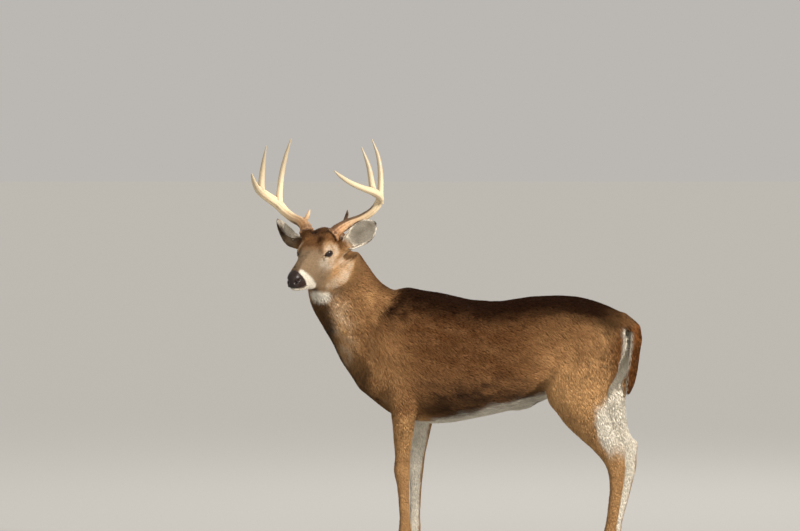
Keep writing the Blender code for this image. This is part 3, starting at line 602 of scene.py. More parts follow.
def lid_surface(radius, across, edge):
    """How far from the eye's centre the skin has to lie."""
    rim = LID_RIM * hump(edge, 0.0012, 0.0014)
    crease = -LID_CREASE * hump(edge, 0.0050, 0.0014) * ramp(across, -0.002, 0.004)
    resting = EYE_RADIUS + LID + rim + crease
    outside = resting + (radius - resting) * ramp(edge, 0.003, LID_REACH)
    inside = EYE_RADIUS + LID - LID_DIVE * ramp(-edge, 0.0, 0.0016)
    return np.where(edge > 0, outside, inside)


def shape_lids(points, side):
    """Lays the skin on the eyeball and opens it."""
    _, across, radius, edge = eye_measure(points, side)
    near = (edge < LID_REACH) & (np.abs(radius - 0.022) < 0.013)
    length = np.maximum(radius, 1e-6)
    factor = np.where(near, lid_surface(radius, across, edge) / length, 1.0)
    centre = eye_centre(side)
    facing = (points - centre) @ eye_axes(side)[0] / length
    factor = 1.0 + (factor - 1.0) * ramp(facing, 0.02, 0.24)
    return centre + (points - centre) * factor[:, None]


points = mesh_points(skin_mesh)
for side in SIDES:
    points = shape_lids(points, side)
set_points(skin_mesh, points)
opening = (FRONT_OPENING + BACK_OPENING, UPPER_OPENING + LOWER_OPENING)
print("lids opened by", [round(size * 1000, 1) for size in opening], "mm")


# %% Tear ducts, nostrils and mouth
DUCT_START = (0.0165, -0.0040)  # ahead of the eye's centre and above it
DUCT_END = (0.0360, -0.0150)


def tear_duct(points, side):
    """1 in the groove that runs forward and down from the front corner of the eye."""
    ahead, left, above = skull_measure(points)
    run = (ahead - DUCT_START[0]) / (DUCT_END[0] - DUCT_START[0])
    line = DUCT_START[1] + run * (DUCT_END[1] - DUCT_START[1])
    width = 0.0018 + 0.0014 * np.clip(run, 0, 1)
    groove = hump(above, line, width) * ramp(run, -0.25, 0.15) * ramp(run, 1.2, 0.7)
    return groove * (left * SIDES[side] > 0.02)


def nostril(points):
    """1 deep in the comma-shaped nostrils."""
    ahead, left, above = skull_measure(points)
    out = np.abs(left)
    hole = blob((ahead, out, above), (0.1840, 0.0165, -0.0540), (0.0075, 0.0062, 0.0056))
    tail = blob((ahead, out, above), (0.1765, 0.0240, -0.0475), (0.0085, 0.0060, 0.0036))
    return np.clip(hole + 0.8 * tail, 0.0, 1.0)


def mouth_line(points):
    """1 in the line between the lips, which ends half way to the cheek."""
    ahead, _, above = skull_measure(points)
    return hump(above, mouth_height(ahead), 0.0016) * ramp(ahead, 0.112, 0.128)


def philtrum(points):
    """1 in the groove between nose and lip."""
    ahead, left, above = skull_measure(points)
    return hump(left, 0.0, 0.0011) * ramp(above, -0.050, -0.058) * ramp(ahead, 0.174, 0.180)


mouth = mouth_line(mesh_points(skin_mesh))
print("points on the line of the mouth:", int((mouth > 0.5).sum()))


# %% The hollow behind the jaw
JAW_HEIGHTS = (-0.150, -0.118, -0.099, -0.073, -0.047, 0.006, 0.036)
JAW_BORDER = (-0.030, -0.046, -0.060, -0.065, -0.071, -0.075, -0.068)


def behind_jaw(points):
    """How far behind the rear edge of the jaw a point lies."""
    ahead, _, above = skull_measure(points)
    return np.interp(above, JAW_HEIGHTS, JAW_BORDER) - 0.862 * ahead - 0.507 * above


def jaw_crease(points):
    """1 in the hollow where the cheek ends and the neck begins."""
    _, left, above = skull_measure(points)
    place = hump(behind_jaw(points), 0.012, 0.010)
    return place * ramp(np.abs(left), 0.030, 0.050) * ramp(above, 0.020, -0.010)


print("the jaw's edge has", len(JAW_HEIGHTS), "named heights")


# %% Push the hollows in and the lips out
NOSTRIL_DEEP = 0.0095
MOUTH_DEEP = 0.0022
PHILTRUM_DEEP = 0.0010
DUCT_DEEP = 0.0020
JAW_DEEP = 0.0050
LIP_FULL = 0.0008
WING_FULL = 0.0010  # the rim behind each nostril
CHIN_BACK = 0.0045  # how far the chin lies behind the upper lip


def sculpt_face(points, normals):
    """Pushes the hollows in and the lips out."""
    ahead, left, above = skull_measure(points)
    push = -NOSTRIL_DEEP * nostril(points) - MOUTH_DEEP * mouth_line(points)
    push -= PHILTRUM_DEEP * philtrum(points)
    push -= DUCT_DEEP * sum(tear_duct(points, side) for side in SIDES)
    push -= JAW_DEEP * jaw_crease(points)
    lip = hump(above, mouth_height(ahead) + 0.0045, 0.0032) * ramp(ahead, 0.120, 0.150)
    wing = blob((ahead, np.abs(left), above), (0.180, 0.0185, -0.0590), (0.008, 0.004, 0.003))
    push += LIP_FULL * lip + WING_FULL * wing
    below = ramp(above, mouth_height(ahead), mouth_height(ahead) - 0.004)
    chin = below * ramp(ahead, 0.165, 0.185)
    return points + normals * push[:, None] - FORWARD * (CHIN_BACK * chin)[:, None]


set_points(skin_mesh, sculpt_face(mesh_points(skin_mesh), mesh_normals(skin_mesh)))
skin_mesh.shade_smooth()
skin = new_object("skin", skin_mesh)
print("face sculpted:", len(skin_mesh.vertices), "points in the skin")

# %% [markdown]
# ## A flat map of the skin
# To carry colours on a flat sheet, the skin is cut into patches and laid out by its own
# shape. Every tuft will later take its place on this same sheet, at the spot where it grows,
# so that skin and coat share one map.

# %% Unwrap the skin
MAP = "OFBake"
UNWRAP_ANGLE = math.radians(66)
UNWRAP_MARGIN = 0.002


def unwrap(thing):
    """Lays the faces of an object out flat."""
    bpy.context.view_layer.objects.active = thing
    thing.select_set(True)
    thing.data.uv_layers.new(name=MAP)
    bpy.ops.object.mode_set(mode="EDIT")
    bpy.ops.mesh.select_all(action="SELECT")
    bpy.ops.uv.smart_project(angle_limit=UNWRAP_ANGLE, island_margin=UNWRAP_MARGIN)
    bpy.ops.object.mode_set(mode="OBJECT")
    thing.select_set(False)


def map_corners(mesh):
    """The places of each triangle's corners on the map."""
    return read_rows(mesh.uv_layers[MAP].data, "uv", 2).reshape(-1, 3, 2)


unwrap(skin)
skin_map = map_corners(skin_mesh)
print("map of the skin from", skin_map.min().round(2), "to", skin_map.max().round(2))

# %% [markdown]
# ## Which way the hair points
# On a deer the hair flows from the nose back over the head, down the neck, to the rear along
# the back, slanting down over the ribs and thighs, and straight down the legs. A short table
# of guide hairs holds that flow, and the direction anywhere else is a blend of the guides
# near it. Legs, ears and tail have a simple direction of their own.

# %% Guide hairs of the body
TRUNK_LAY = (  # behind the withers, out from the mid-plane, height; direction of the hair
    ((-0.10, 0.00, 0.900), (1.0, 0, -0.35)),
    ((0.05, 0.00, 0.970), (1.0, 0, -0.05)),
    ((0.30, 0.00, 0.920), (1.0, 0, 0.0)),
    ((0.55, 0.00, 0.940), (1.0, 0, 0.0)),
    ((0.78, 0.00, 0.910), (1.0, 0, -0.35)),
    ((0.88, 0.00, 0.840), (0.4, 0, -1.0)),
    ((0.00, 0.12, 0.820), (0.8, 0, -0.60)),
    ((-0.05, 0.12, 0.680), (0.35, 0, -1.0)),
    ((0.02, 0.13, 0.580), (0.25, 0, -1.0)),
    ((0.20, 0.15, 0.750), (1.0, 0, -0.45)),
    ((0.20, 0.14, 0.580), (1.0, 0, -0.35)),
    ((0.45, 0.16, 0.800), (1.0, 0, -0.40)),
    ((0.45, 0.14, 0.600), (1.0, 0, -0.25)),
    ((0.62, 0.14, 0.780), (0.9, 0, -0.55)),
    ((0.72, 0.13, 0.850), (0.8, 0, -0.60)),
    ((0.75, 0.13, 0.680), (0.5, 0, -1.0)),
    ((0.85, 0.08, 0.760), (0.3, 0, -1.0)),
    ((0.68, 0.14, 0.580), (0.35, 0, -1.0)),
    ((0.15, 0.00, 0.490), (1.0, 0, 0.0)),
    ((0.45, 0.00, 0.540), (1.0, 0, 0.1)),
    ((0.65, 0.00, 0.620), (1.0, 0, 0.2)),
    ((-0.12, 0.00, 0.700), (0.2, 0, -1.0)),
    ((-0.06, 0.00, 0.580), (0.7, 0, -0.7)),
)
NECK_LAY = (  # behind the withers, to the right, height; direction
    ((-0.060, 0.03, 0.960), (0.62, 0.30, -0.72)),
    ((-0.110, 0.00, 1.020), (0.55, 0.36, -0.75)),
    ((-0.100, -0.13, 0.880), (0.55, 0.25, -0.80)),
    ((-0.180, 0.03, 0.880), (0.55, 0.25, -0.80)),
    ((-0.150, -0.15, 0.960), (0.50, 0.30, -0.82)),
    ((-0.220, -0.02, 0.960), (0.50, 0.30, -0.82)),
    ((-0.220, -0.10, 0.900), (0.30, 0.18, -0.94)),
    ((-0.180, -0.06, 0.800), (0.28, 0.12, -0.95)),
    ((-0.050, -0.12, 0.800), (0.60, 0.12, -0.78)),
    ((-0.120, 0.08, 0.800), (0.60, 0.12, -0.78)),
)
print("rows for the body:", len(TRUNK_LAY) + len(NECK_LAY))

# %% Guide hairs of the head and the legs
HEAD_LAY = (  # ahead of the eyes, out to the side, above; direction in the same measure
    ((0.165, 0.000, -0.020), (-1.0, 0, 0.15)),
    ((0.100, 0.000, 0.005), (-1.0, 0, 0.25)),
    ((0.030, 0.000, 0.035), (-1.0, 0, 0.50)),
    ((-0.020, 0.000, 0.057), (-1.0, 0, 0.45)),
    ((-0.080, 0.000, 0.073), (-1.0, 0, 0.0)),
    ((-0.130, 0.000, 0.045), (-1.0, 0, -0.60)),
    ((0.140, 0.030, -0.050), (-1.0, 0, -0.10)),
    ((0.080, 0.037, -0.050), (-1.0, 0, -0.15)),
    ((0.030, 0.055, -0.060), (-1.0, 0, -0.45)),
    ((0.020, 0.050, 0.030), (-1.0, 0, 0.35)),
    ((-0.030, 0.065, -0.060), (-1.0, 0, -0.55)),
    ((-0.040, 0.065, 0.000), (-1.0, 0, -0.10)),
    ((-0.060, 0.050, -0.110), (-1.0, 0, -0.40)),
    ((0.170, 0.000, -0.090), (-1.0, 0, -0.20)),
    ((0.060, 0.000, -0.115), (-1.0, 0, 0.0)),
    ((-0.060, 0.000, -0.120), (-0.9, 0, -0.40)),
)
LEG_LAY = np.array((0.18, 0.0, -1.0))


def both_sides(table):
    """The rows of a table, with a mirrored row for each that lies out to the side."""
    for (first, out, last), direction in table:
        for sign in (-1, 1) if out else (1,):
            yield (first, out * sign, last), direction


def guide_table():
    """Places and directions of all the guide hairs."""
    trunk = [(WITHERS + place, way) for place, way in (*both_sides(TRUNK_LAY), *NECK_LAY)]
    turn = np.array((FORWARD, HEAD_LEFT, SKULL_UP))
    head = [(skull_point(*place), np.array(way) @ turn) for place, way in both_sides(HEAD_LAY)]
    places, directions = zip(*trunk, *head)
    return np.array(places), unit(directions)


print("guide hairs:", len(guide_table()[0]))


# %% The ears and the tail have measures of their own
EARS = {  # level measure (ahead, out, above): root, tip, the way the cup opens
    "left": ((-0.066, 0.060, 0.014), (-0.062, 0.208, 0.112), (0.95, 0.10, -0.28)),
    "right": ((-0.068, 0.060, 0.016), (-0.062, 0.183, 0.119), (0.02, -0.73, 0.68)),
}
TAIL_LINE = ((0.872, 0.850), (0.897, 0.834), (0.904, 0.795), (0.896, 0.740), (0.890, 0.680),
             (0.881, 0.620), (0.872, 0.572))  # behind the withers, height
TAIL_SPREAD = 4.0  # how strongly the hair of the tail fans out to its sides


def ear_line(side):
    """The root of the ear and the way from there to its tip."""
    ends = [level_point(a, b * SIDES[side], h) for a, b, h in EARS[side][:2]]
    return ends[0], ends[1] - ends[0]


def ear_opening(side):
    """The way the cup of the ear opens."""
    ahead, out, above = EARS[side][2]
    facing = level_point(ahead, out * SIDES[side], above) - EYE_LINE
    along = unit(ear_line(side)[1])
    return unit(facing - along * (facing @ along))


def ear_measure(points, side):
    """Share of the ear's length, and distance across the cup."""
    root, line = ear_line(side)
    away = points - root
    along = unit(line)
    across = np.cross(ear_opening(side), along)
    return (away @ along) / np.linalg.norm(line), away @ across


def tail_direction(points):
    """Down along the bone of the tail, spread a little to both sides."""
    _, y, z = trunk_measure(points)
    places = np.array(TAIL_LINE)
    steps = np.diff(places, axis=0)
    heights = (places[:-1, 1] + places[1:, 1]) / 2
    slope = np.interp(z, heights[::-1], (steps[:, 0] / -steps[:, 1])[::-1])
    return unit(np.stack((slope, TAIL_SPREAD * y, -np.ones_like(z)), axis=1))


print("ears of", [round(float(np.linalg.norm(ear_line(side)[1])), 3) for side in SIDES], "m")


# %% The direction of the hair at every point
BLEND_POWER = 4  # how fast a guide's pull falls off
BLEND_CORE = 0.01  # within this distance it hardly grows
FLOW_ROUNDS = 8


def hair_directions(points, normals, labels, edges):
    """A blend of the guides near each point, laid flat on the skin."""
    places, guides = guide_table()
    total = np.zeros_like(points)
    for place, guide in zip(places, guides):
        distance = np.linalg.norm(points - place, axis=1) + BLEND_CORE
        weight = 1.0 / distance ** BLEND_POWER
        total += weight[:, None] * guide
    flow = unit(total)
    flow[belongs(labels, "leg")] = unit(LEG_LAY)
    flow[belongs(labels, "tail")] = tail_direction(points[belongs(labels, "tail")])
    for side in SIDES:
        flow[belongs(labels, "ear_" + side)] = unit(ear_line(side)[1])
    flow = smooth_values(edges, flow, FLOW_ROUNDS)
    flow -= normals * np.sum(flow * normals, axis=1, keepdims=True)
    return unit(flow)


points = mesh_points(skin_mesh)
normals = mesh_normals(skin_mesh)
edges = mesh_edges(skin_mesh)
labels = nearest_part(points, FLESH)
flow = hair_directions(points, normals, labels, edges)
depth, length = coat_fields(points, labels, edges)
print("hair from", round(length.min() * 1000, 1), "to", round(length.max() * 1000, 1), "mm long")

# %% [markdown]
# ## The markings
# A white-tailed deer's winter coat is grey brown, darkest along the spine and palest under
# the belly. White patches lie behind the nose, round the eyes, on the chin and throat, inside
# the ears and legs and under the tail, and the forehead and tail carry a rusty tone. Each
# tone gets a mask, worked out from where a point is and which way it faces, and the masks
# travel with the mesh, so that skin and hair always agree.

# %% Everything that a marking asks about a point
PARTS = ("trunk", "neck", "leg", "head", "tail")


class Spots:
    """The points of the skin, with every measure of them that the markings use."""

    def __init__(self, points, normals, labels):
        self.points = points
        self.normals = normals
        self.labels = labels
        self.x, self.y, self.z = trunk_measure(points)
        self.ahead, self.left, self.above = skull_measure(points)
        self.out = np.abs(self.left)
        self.rear = normals[:, 0]
        self.down = -normals[:, 2]
        self.inward = -normals[:, 1] * np.sign(self.y)
        for part in PARTS:
            setattr(self, part, belongs(labels, part))


def covers(mask):
    """The share of the skin's points that a mask covers."""
    return round(float(mask.mean()), 3)


def mottled(value, noise_values, amount):
    """Roughens the border of a mask and leaves its middle alone."""
    return np.clip(value + amount * noise_values * 4.0 * value * (1.0 - value), 0.0, 1.0)


spots = Spots(points, normals, labels)
print("spots on", ", ".join(f"{part} {getattr(spots, part).sum()}" for part in PARTS))


# %% The dark brown of the back
# The saddle is measured down from the line of the back: how far behind the withers, and the
# height of the back there.
BACK_PLACES = (0.00, 0.06, 0.18, 0.33, 0.42, 0.54, 0.66, 0.78, 0.90)
BACK_HEIGHTS = (0.955, 0.959, 0.943, 0.917, 0.918, 0.935, 0.937, 0.913, 0.861)
SADDLE_DEEP = 0.165  # how far the saddle reaches down over the ribs
SADDLE_STEP = 0.070  # and how much less over the haunch
NAPE_FACING = (0.74, 0.40, 0.50)


def back_drop(at):
    """How far a point lies below the line of the back."""
    return np.interp(at.x, BACK_PLACES, BACK_HEIGHTS) - at.z


def warm_side(at):
    """1 on the ribs and high on the haunch, where the brown is deep and warm."""
    ribs = band(at.x, 0.04, 0.14, 0.50, 0.62) * ramp(at.z, 0.655, 0.700)
    haunch = ramp(back_drop(at), 0.19, 0.08) * band(at.x, 0.45, 0.58, 0.70, 0.80)
    return np.maximum(ribs, 0.9 * haunch) * at.trunk


def spine(at):
    """1 along the back, paler where it runs out into the rump."""
    reach = SADDLE_DEEP - SADDLE_STEP * ramp(at.x, 0.45, 0.70)
    dark = ramp(back_drop(at), reach, 0.030) * (1.0 - 0.45 * ramp(at.x, 0.78, 0.88))
    return np.maximum(dark, 0.55 * warm_side(at))


def nape(at):
    """1 on the upper rear face of the neck."""
    return ramp(at.normals @ unit(NAPE_FACING), 0.35, 0.95)


def saddle(at):
    """The dark brown of the back, carried on up the nape."""
    on_neck = nape(at) * (0.30 + 0.45 * ramp(at.z, 1.02, 0.90))
    return np.where(at.neck, on_neck, spine(at) * at.trunk)


print("the saddle covers", covers(saddle(spots)))


# %% The light and dark of neck, chest, flank and legs, partly painted light and shade
THROAT_FACING = (0.75, 0.0, 0.66)
LEG_TAN = 0.80
# the column is paler hair and, on the left, painted sunlight, so it is weaker on the right
RIGHT_COLUMN = 0.4  # how strong the pale column is on the right of the throat


def throat_front(at):
    """How squarely the skin faces forward and down."""
    return -(at.normals @ unit(THROAT_FACING))


def throat_column_and_light(at):
    """1 on the pale column down each side of the throat: paler hair, with painted sunlight on the
    left side.
    """
    column = hump(at.out, 0.072, 0.030) * ramp(at.z, 0.97, 0.92)
    column *= ramp(throat_front(at), -0.4, 0.0)
    return column * np.where(at.left > 0, 1.0, RIGHT_COLUMN)


def body_tan(at):
    """The lighter brown of haunch, shoulder, legs and throat."""
    haunch = band(at.x, 0.50, 0.66, 0.78, 0.90)
    shoulder = ramp(at.x, 0.16, 0.04) * ramp(at.z, 0.84, 0.76)
    side = np.maximum(haunch * (0.40 + 0.60 * ramp(at.z, 0.80, 0.62)), 0.30 * shoulder)
    # the throat's pale column carries painted sunlight on the left
    throat = 0.30 * (1 - nape(at)) + 0.70 * throat_column_and_light(at)
    tan = np.where(at.trunk, side, np.where(at.leg, LEG_TAN, throat))
    return tan * (1.0 - saddle(at))


def body_dark(at):
    """Painted shade on the brisket and low on the flank, the front of the neck in a darker tone of
    its own deepened by painted shade, and the fronts of the shins.
    """
    front = throat_front(at)
    # painted shade on the forward-facing brisket
    brisket = ramp(at.x, 0.10, -0.04) * ramp(at.z, 0.86, 0.66) * ramp(-at.rear, 0.05, 0.75)
    # the front of the neck: a darker tone of its own, with painted shade where it faces forward
    # and down
    strip = ramp(at.out, 0.052, 0.030) * band(at.z, 0.76, 0.82, 0.920, 0.945)
    strip = strip * ramp(front, 0.0, 0.3)
    strip = np.maximum(strip, ramp(front, 0.60, 0.90) * ramp(at.z, 0.90, 0.84))
    # painted shade low on the flank, under the belly
    flank = 0.80 * ramp(at.z, 0.71, 0.59) * band(at.x, 0.10, 0.20, 0.52, 0.62)
    dark = np.maximum.reduce([0.60 * brisket, 0.75 * strip * at.neck, flank])
    shin = ramp(-at.rear, 0.3, 0.9) * at.leg * ramp(at.z, 0.45, 0.38)
    return np.maximum(dark * (at.trunk | at.neck), 0.25 * shin)


print("the tan of the body covers", covers(body_tan(spots)))


# %% The white below and behind, and the rust beside it
# The white of the rump starts behind a line that slants round the thigh: a height above the
# ground, and how far back the white begins there.
RUMP_HEIGHTS = (0.42, 0.47, 0.52, 0.58, 0.62, 0.67, 0.70, 0.75, 0.83)
RUMP_BORDER = (0.740, 0.712, 0.704, 0.701, 0.751, 0.785, 0.799, 0.804, 0.800)
RUMP_SLANT = (0.94, 0.342)  # the border swings forward on the outside of the thigh
POCKET = 0.10  # how much further forward the white reaches under the tail


def behind_border(at):
    """How far a point lies behind the border of the rump's white."""
    place = RUMP_SLANT[0] * at.x - RUMP_SLANT[1] * np.abs(at.y)
    under_tail = ramp(np.abs(at.y), 0.058, 0.044) * ramp(at.x, 0.60, 0.68)
    under_tail *= ramp(at.z, 0.850, 0.835)
    return place - np.interp(at.z, RUMP_HEIGHTS, RUMP_BORDER) + POCKET * under_tail


def inner_leg(at):
    """1 on the insides of the legs and between the thighs."""
    thigh = ramp(at.inward, 0.10, 0.45) * ramp(at.x, 0.40, 0.55) * ramp(at.z, 0.82, 0.76)
    leg = ramp(at.inward, 0.25, 0.65) * at.leg
    between = ramp(np.abs(at.y), 0.075, 0.055) * ramp(at.x, 0.50, 0.58)
    between *= ramp(at.z, 0.68, 0.64)
    return np.maximum.reduce([thigh, leg, between]) * (at.trunk | at.leg)


def body_white(at):
    """Belly, rump and the insides of the legs, with a touch on the throat."""
    belly = ramp(at.down, 0.74, 0.96) * ramp(at.x, -0.02, 0.10) * at.trunk
    rump = ramp(behind_border(at), -0.005, 0.005) * band(at.z, 0.38, 0.46, 0.832, 0.848)
    rump = rump * (at.trunk | at.leg)
    return np.maximum.reduce([belly, rump, inner_leg(at), 0.20 * throat_column_and_light(at) * at.neck])


def body_rust(at):
    """The warm edge beside the rump's white, the hock and the warm side."""
    beside = ramp(behind_border(at), -0.060, -0.006) * band(at.z, 0.64, 0.74, 0.80, 0.86)
    hock = ramp(at.x, 0.70, 0.78) * hump(at.z, 0.400, 0.030) * ramp(at.inward, 0.1, 0.6)
    rust = 0.75 * hock * at.leg + 0.85 * beside * at.trunk * (1.0 - saddle(at))
    return np.maximum(rust, 0.35 * warm_side(at) * (1.0 - spine(at)))


print("the white of the body covers", covers(body_white(spots)))


# %% Forehead and cheeks
def face_top(at):
    """1 on the upper face of the head."""
    return ramp(at.above - 0.35 * at.out, -0.030, 0.000)


def forehead(at):
    """1 on the dark cap above and behind the eyes, which runs to a point on the bridge."""
    middle = ramp(at.out, 0.040, 0.010)
    return ramp(at.ahead, 0.042 + 0.018 * middle, 0.004) * face_top(at)


def jaw_edge(at):
    """1 on the pale rim of the cheek, just ahead of the neck."""
    edge = band(behind_jaw(at.points), -0.034, -0.014, -0.004, 0.006)
    return edge * (ramp(at.out, 0.030, 0.045) * ramp(at.above, 0.050, 0.025))


def behind_cheek(at):
    """1 in the shade that the cheek casts on the neck."""
    shade = band(behind_jaw(at.points), 0.000, 0.010, 0.025, 0.060)
    return shade * ramp(at.above, 0.010, -0.030) * ramp(at.out, 0.030, 0.045)


print("the forehead covers", covers(forehead(spots) * spots.head))


# %% The white and the dark of the face
# The band of white behind the nose starts behind a line: heights above the eyes, and how far
# ahead of the eyes the white begins there.
WHITE_HEIGHTS = (-0.125, -0.116, -0.103, -0.088, -0.075, -0.061, -0.045, -0.030, -0.015)
WHITE_STARTS = (0.090, 0.072, 0.054, 0.066, 0.083, 0.097, 0.113, 0.130, 0.149)
FOREHEAD_TONES = {"rust": 0.62, "dark": 0.44}


def under_lip(at):
    """1 on the dark line below the rear half of the mouth."""
    line = hump(at.above, mouth_height(at.ahead) - 0.004, 0.0050)
    return line * ramp(at.ahead, 0.122, 0.136) * ramp(at.out, 0.012, 0.020)


def face_white(at):
    """The band behind the nose, the chin and the rim of the cheek."""
    starts = np.interp(at.above, WHITE_HEIGHTS, WHITE_STARTS)
    stripe = ramp(at.ahead - starts, -0.004, 0.004)
    stripe *= np.maximum(ramp(at.out, 0.012, 0.018), ramp(at.above, -0.045, -0.055))
    return np.maximum(stripe, 0.36 * jaw_edge(at)) * (1.0 - 0.9 * under_lip(at))


def face_dark(at):
    """The cap, the line down the bridge, the shade beside the eye and under the lip."""
    crown = ramp(at.ahead, 0.020, -0.050) * ramp(at.out, 0.060, 0.030)
    cap = forehead(at) * (FOREHEAD_TONES["dark"] + 0.20 * crown)
    cap *= 1.0 - 0.8 * ramp(at.ahead, -0.050, -0.075) * ramp(at.out, 0.030, 0.045)
    face = (at.ahead, at.out, at.above)
    beside_eye = 0.55 * blob(face, (0.022, 0.036, 0.006), (0.016, 0.009, 0.016))
    bridge = 0.45 * ramp(at.out, 0.016, 0.006) * ramp(at.above, -0.060, -0.02)
    bridge *= ramp(at.ahead, 0.03, 0.08)
    lip = 0.95 * under_lip(at) * ramp(at.ahead, 0.172, 0.160)
    return np.maximum.reduce([cap, beside_eye, bridge, lip])


print("the dark of the face covers", covers(face_dark(spots) * spots.head))


# %% The marks round the eyes and under the chin
RING_UP = 0.001  # the pale ring's middle lies above and behind the eye's
RING_BACK = 0.009


def eye_marks(at, side):
    """The pale ring round the eye, the dark tear duct, and the cream outside the ring."""
    edge = eye_measure(at.points, side)[3]
    middle = eye_centre(side) + SKULL_UP * RING_UP - FORWARD * RING_BACK
    away = np.linalg.norm(at.points - middle, axis=1)
    ring = 0.26 * hump(away, 0.0235, 0.0050) + 0.22 * ramp(away, 0.037, 0.028)
    face = (at.ahead, at.left * SIDES[side], at.above)
    below = blob(face, (0.008, 0.055, -0.026), (0.032, 0.034, 0.018))
    duct = tear_duct(at.points, side)
    pale = np.maximum(ring, 0.60 * np.clip(1.5 * below, 0, 1)) * ramp(edge, 0.0012, 0.0030)
    return pale * (1.0 - duct), duct, ramp(away, 0.042, 0.030)


def throat_patch(at):
    """1 on the white oval under the chin."""
    oval = ((at.left - 0.014) / 0.037) ** 2 + ((at.above + 0.140) / 0.019) ** 2
    return np.exp(-oval ** 3) * ramp(at.ahead, -0.050, -0.030)


print("the throat patch covers", covers(throat_patch(spots) * spots.head))


# %% Every tone of the head
def head_masks(at):
    """Every tone of the head."""
    cap = forehead(at)
    grey = ramp(at.ahead, -0.02, 0.04) * (1.0 - cap)
    cheek = ramp(at.ahead, 0.085, 0.020) * (1.0 - face_top(at))
    tan = np.maximum(0.85 * cheek, jaw_edge(at)) * ramp(behind_jaw(at.points), 0.022, 0.002)
    rust = FOREHEAD_TONES["rust"] * cap
    dark = face_dark(at)
    white = face_white(at)
    for side in SIDES:
        pale, duct, cream = eye_marks(at, side)
        white = np.maximum(white, pale) * (1.0 - duct)
        dark = np.maximum(dark * (1.0 - np.maximum(pale, 0.8 * cream)), duct)
        rust = rust * (1.0 - 0.9 * cream)
        grey = grey * (1.0 - 0.7 * cream)
        tan = np.maximum(tan, 0.80 * cream)
    chin_shade = hump(at.above, -0.116, 0.007) * band(at.ahead, -0.03, 0.0, 0.050, 0.070)
    dark = np.maximum(dark, 0.50 * chin_shade * (1.0 - white))
    masks = {"grey": grey, "tan": tan, "rust": rust, "dark": dark, "white": white}
    masks = {name: mask * at.head for name, mask in masks.items()}
    border = at.head | at.neck
    masks["dark"] = np.maximum(masks["dark"], 0.30 * behind_cheek(at) * border)
    masks["white"] = np.maximum(masks["white"], throat_patch(at) * border)
    return masks


print("the tan of the head covers", covers(head_masks(spots)["tan"]))


# %% Rim and hollow of an ear
# the left cup has a darker middle of its own; the right cup is darkened by painted shade
CUP_DARK_AND_SHADE = {"left": 0.45, "right": 0.90}  # how dark the middle of the cup is
EAR_STEPS = 12  # the ear's outline is measured at so many places along it
EAR_HALF = 0.010  # the least half width that such a place can have


def ear_rim(share, across, here):
    """1 on the edge of the ear, found from how wide the ear is at each place along it."""
    steps = np.clip((share * EAR_STEPS).astype(int), 0, EAR_STEPS)
    half = [np.abs(across[here & (steps == step)]).max(initial=EAR_HALF)
            for step in range(EAR_STEPS + 1)]
    near = np.abs(across) / np.interp(share * EAR_STEPS - 0.5, range(EAR_STEPS + 1), half)
    rim = np.maximum(ramp(near, 0.84, 0.94), ramp(share, 0.93, 0.98))
    return rim * ramp(share, 0.40, 0.60)


def ear_middle_and_shade(share, across, side):
    """1 deep in the cup: a soft darker middle in the left ear, and painted shade over all but one
    edge of the right.
    """
    if side == "left":
        hollow = 0.36 * hump(across, 0.003, 0.014) * ramp(share, 0.25, 0.50)
    else:
        hollow = ramp(across, -0.021, -0.011)
    return hollow * ramp(share, 0.98, 0.80)


print("an ear is measured at", EAR_STEPS + 1, "places")


# %% Masks of the ears and the tail
def ear_masks(at):
    """Pale hair inside the ears, a darker middle, painted shade in the right cup, and a dark rim
    and back.
    """
    dark, white, grey = np.zeros((3, len(at.points)))
    for side in SIDES:
        here = belongs(at.labels, "ear_" + side)
        share, across = ear_measure(at.points, side)
        inside = ramp(at.normals @ ear_opening(side), 0.05, 0.45)
        rim = ear_rim(share, across, here)
        hollow = ear_middle_and_shade(share, across, side)
        base = ramp(share, 0.34, 0.12)
        back = (1 - inside) * (0.55 + 0.25 * ramp(share, 0.55, 1.0)) * (1.0 - 0.8 * base)
        # in the right ear this middle is painted shade, which also dims its white
        middle = CUP_DARK_AND_SHADE[side] * inside * hollow
        white = np.where(here, inside * (0.95 - 0.90 * hollow) * (1 - rim), white)
        dark = np.where(here, np.maximum.reduce([0.95 * rim, back, middle]), dark)
        grey = np.where(here, 1.0 - 0.5 * base, grey)
    return {"dark": dark, "white": white, "grey": grey}


def tail_masks(at):
    """Brown on the back of the tail and round its sides, white underneath."""
    brown = ramp(at.rear, -0.80, -0.45)
    tip = ramp(at.z, 0.70, 0.60)
    return {
        "rust": brown * at.tail,
        "dark": (0.20 + 0.35 * tip) * brown * at.tail,
        "white": (1.0 - brown) * at.tail,
    }


print("the dark of the ears covers", covers(ear_masks(spots)["dark"]))


# %% Every tone of the body, and the rims of the lids
def body_masks(at):
    """Every tone of trunk, neck and legs."""
    makers = {"saddle": saddle, "tan": body_tan, "dark": body_dark, "white": body_white,
              "rust": body_rust}
    return {tone: maker(at) for tone, maker in makers.items()}


def lid_edges(at):
    """1 on the bare black rims of the eyelids."""
    lids = np.zeros(len(at.points))
    for side in SIDES:
        along, _, radius, edge = eye_measure(at.points, side)
        close = np.abs(radius - 0.017) < 0.010
        corner = ramp(along, 0.010, 0.018)
        lids = np.maximum(lids, ramp(edge, 0.0030 + 0.0015 * corner, 0.0014) * close)
    return lids


print("the rims of the lids cover", covers(lid_edges(spots)))


# %% Bring the masks together
TONES = ("saddle", "tan", "grey", "rust", "dark", "white", "bare")
MASK_ROUNDS = 2
SOFT_ROUNDS = {"saddle": 26, "tan": 8}
MOTTLE = 0.45  # how strongly noise roughens the borders
FINE_SHARE = 0.6
LIP_BLACK = 0.9


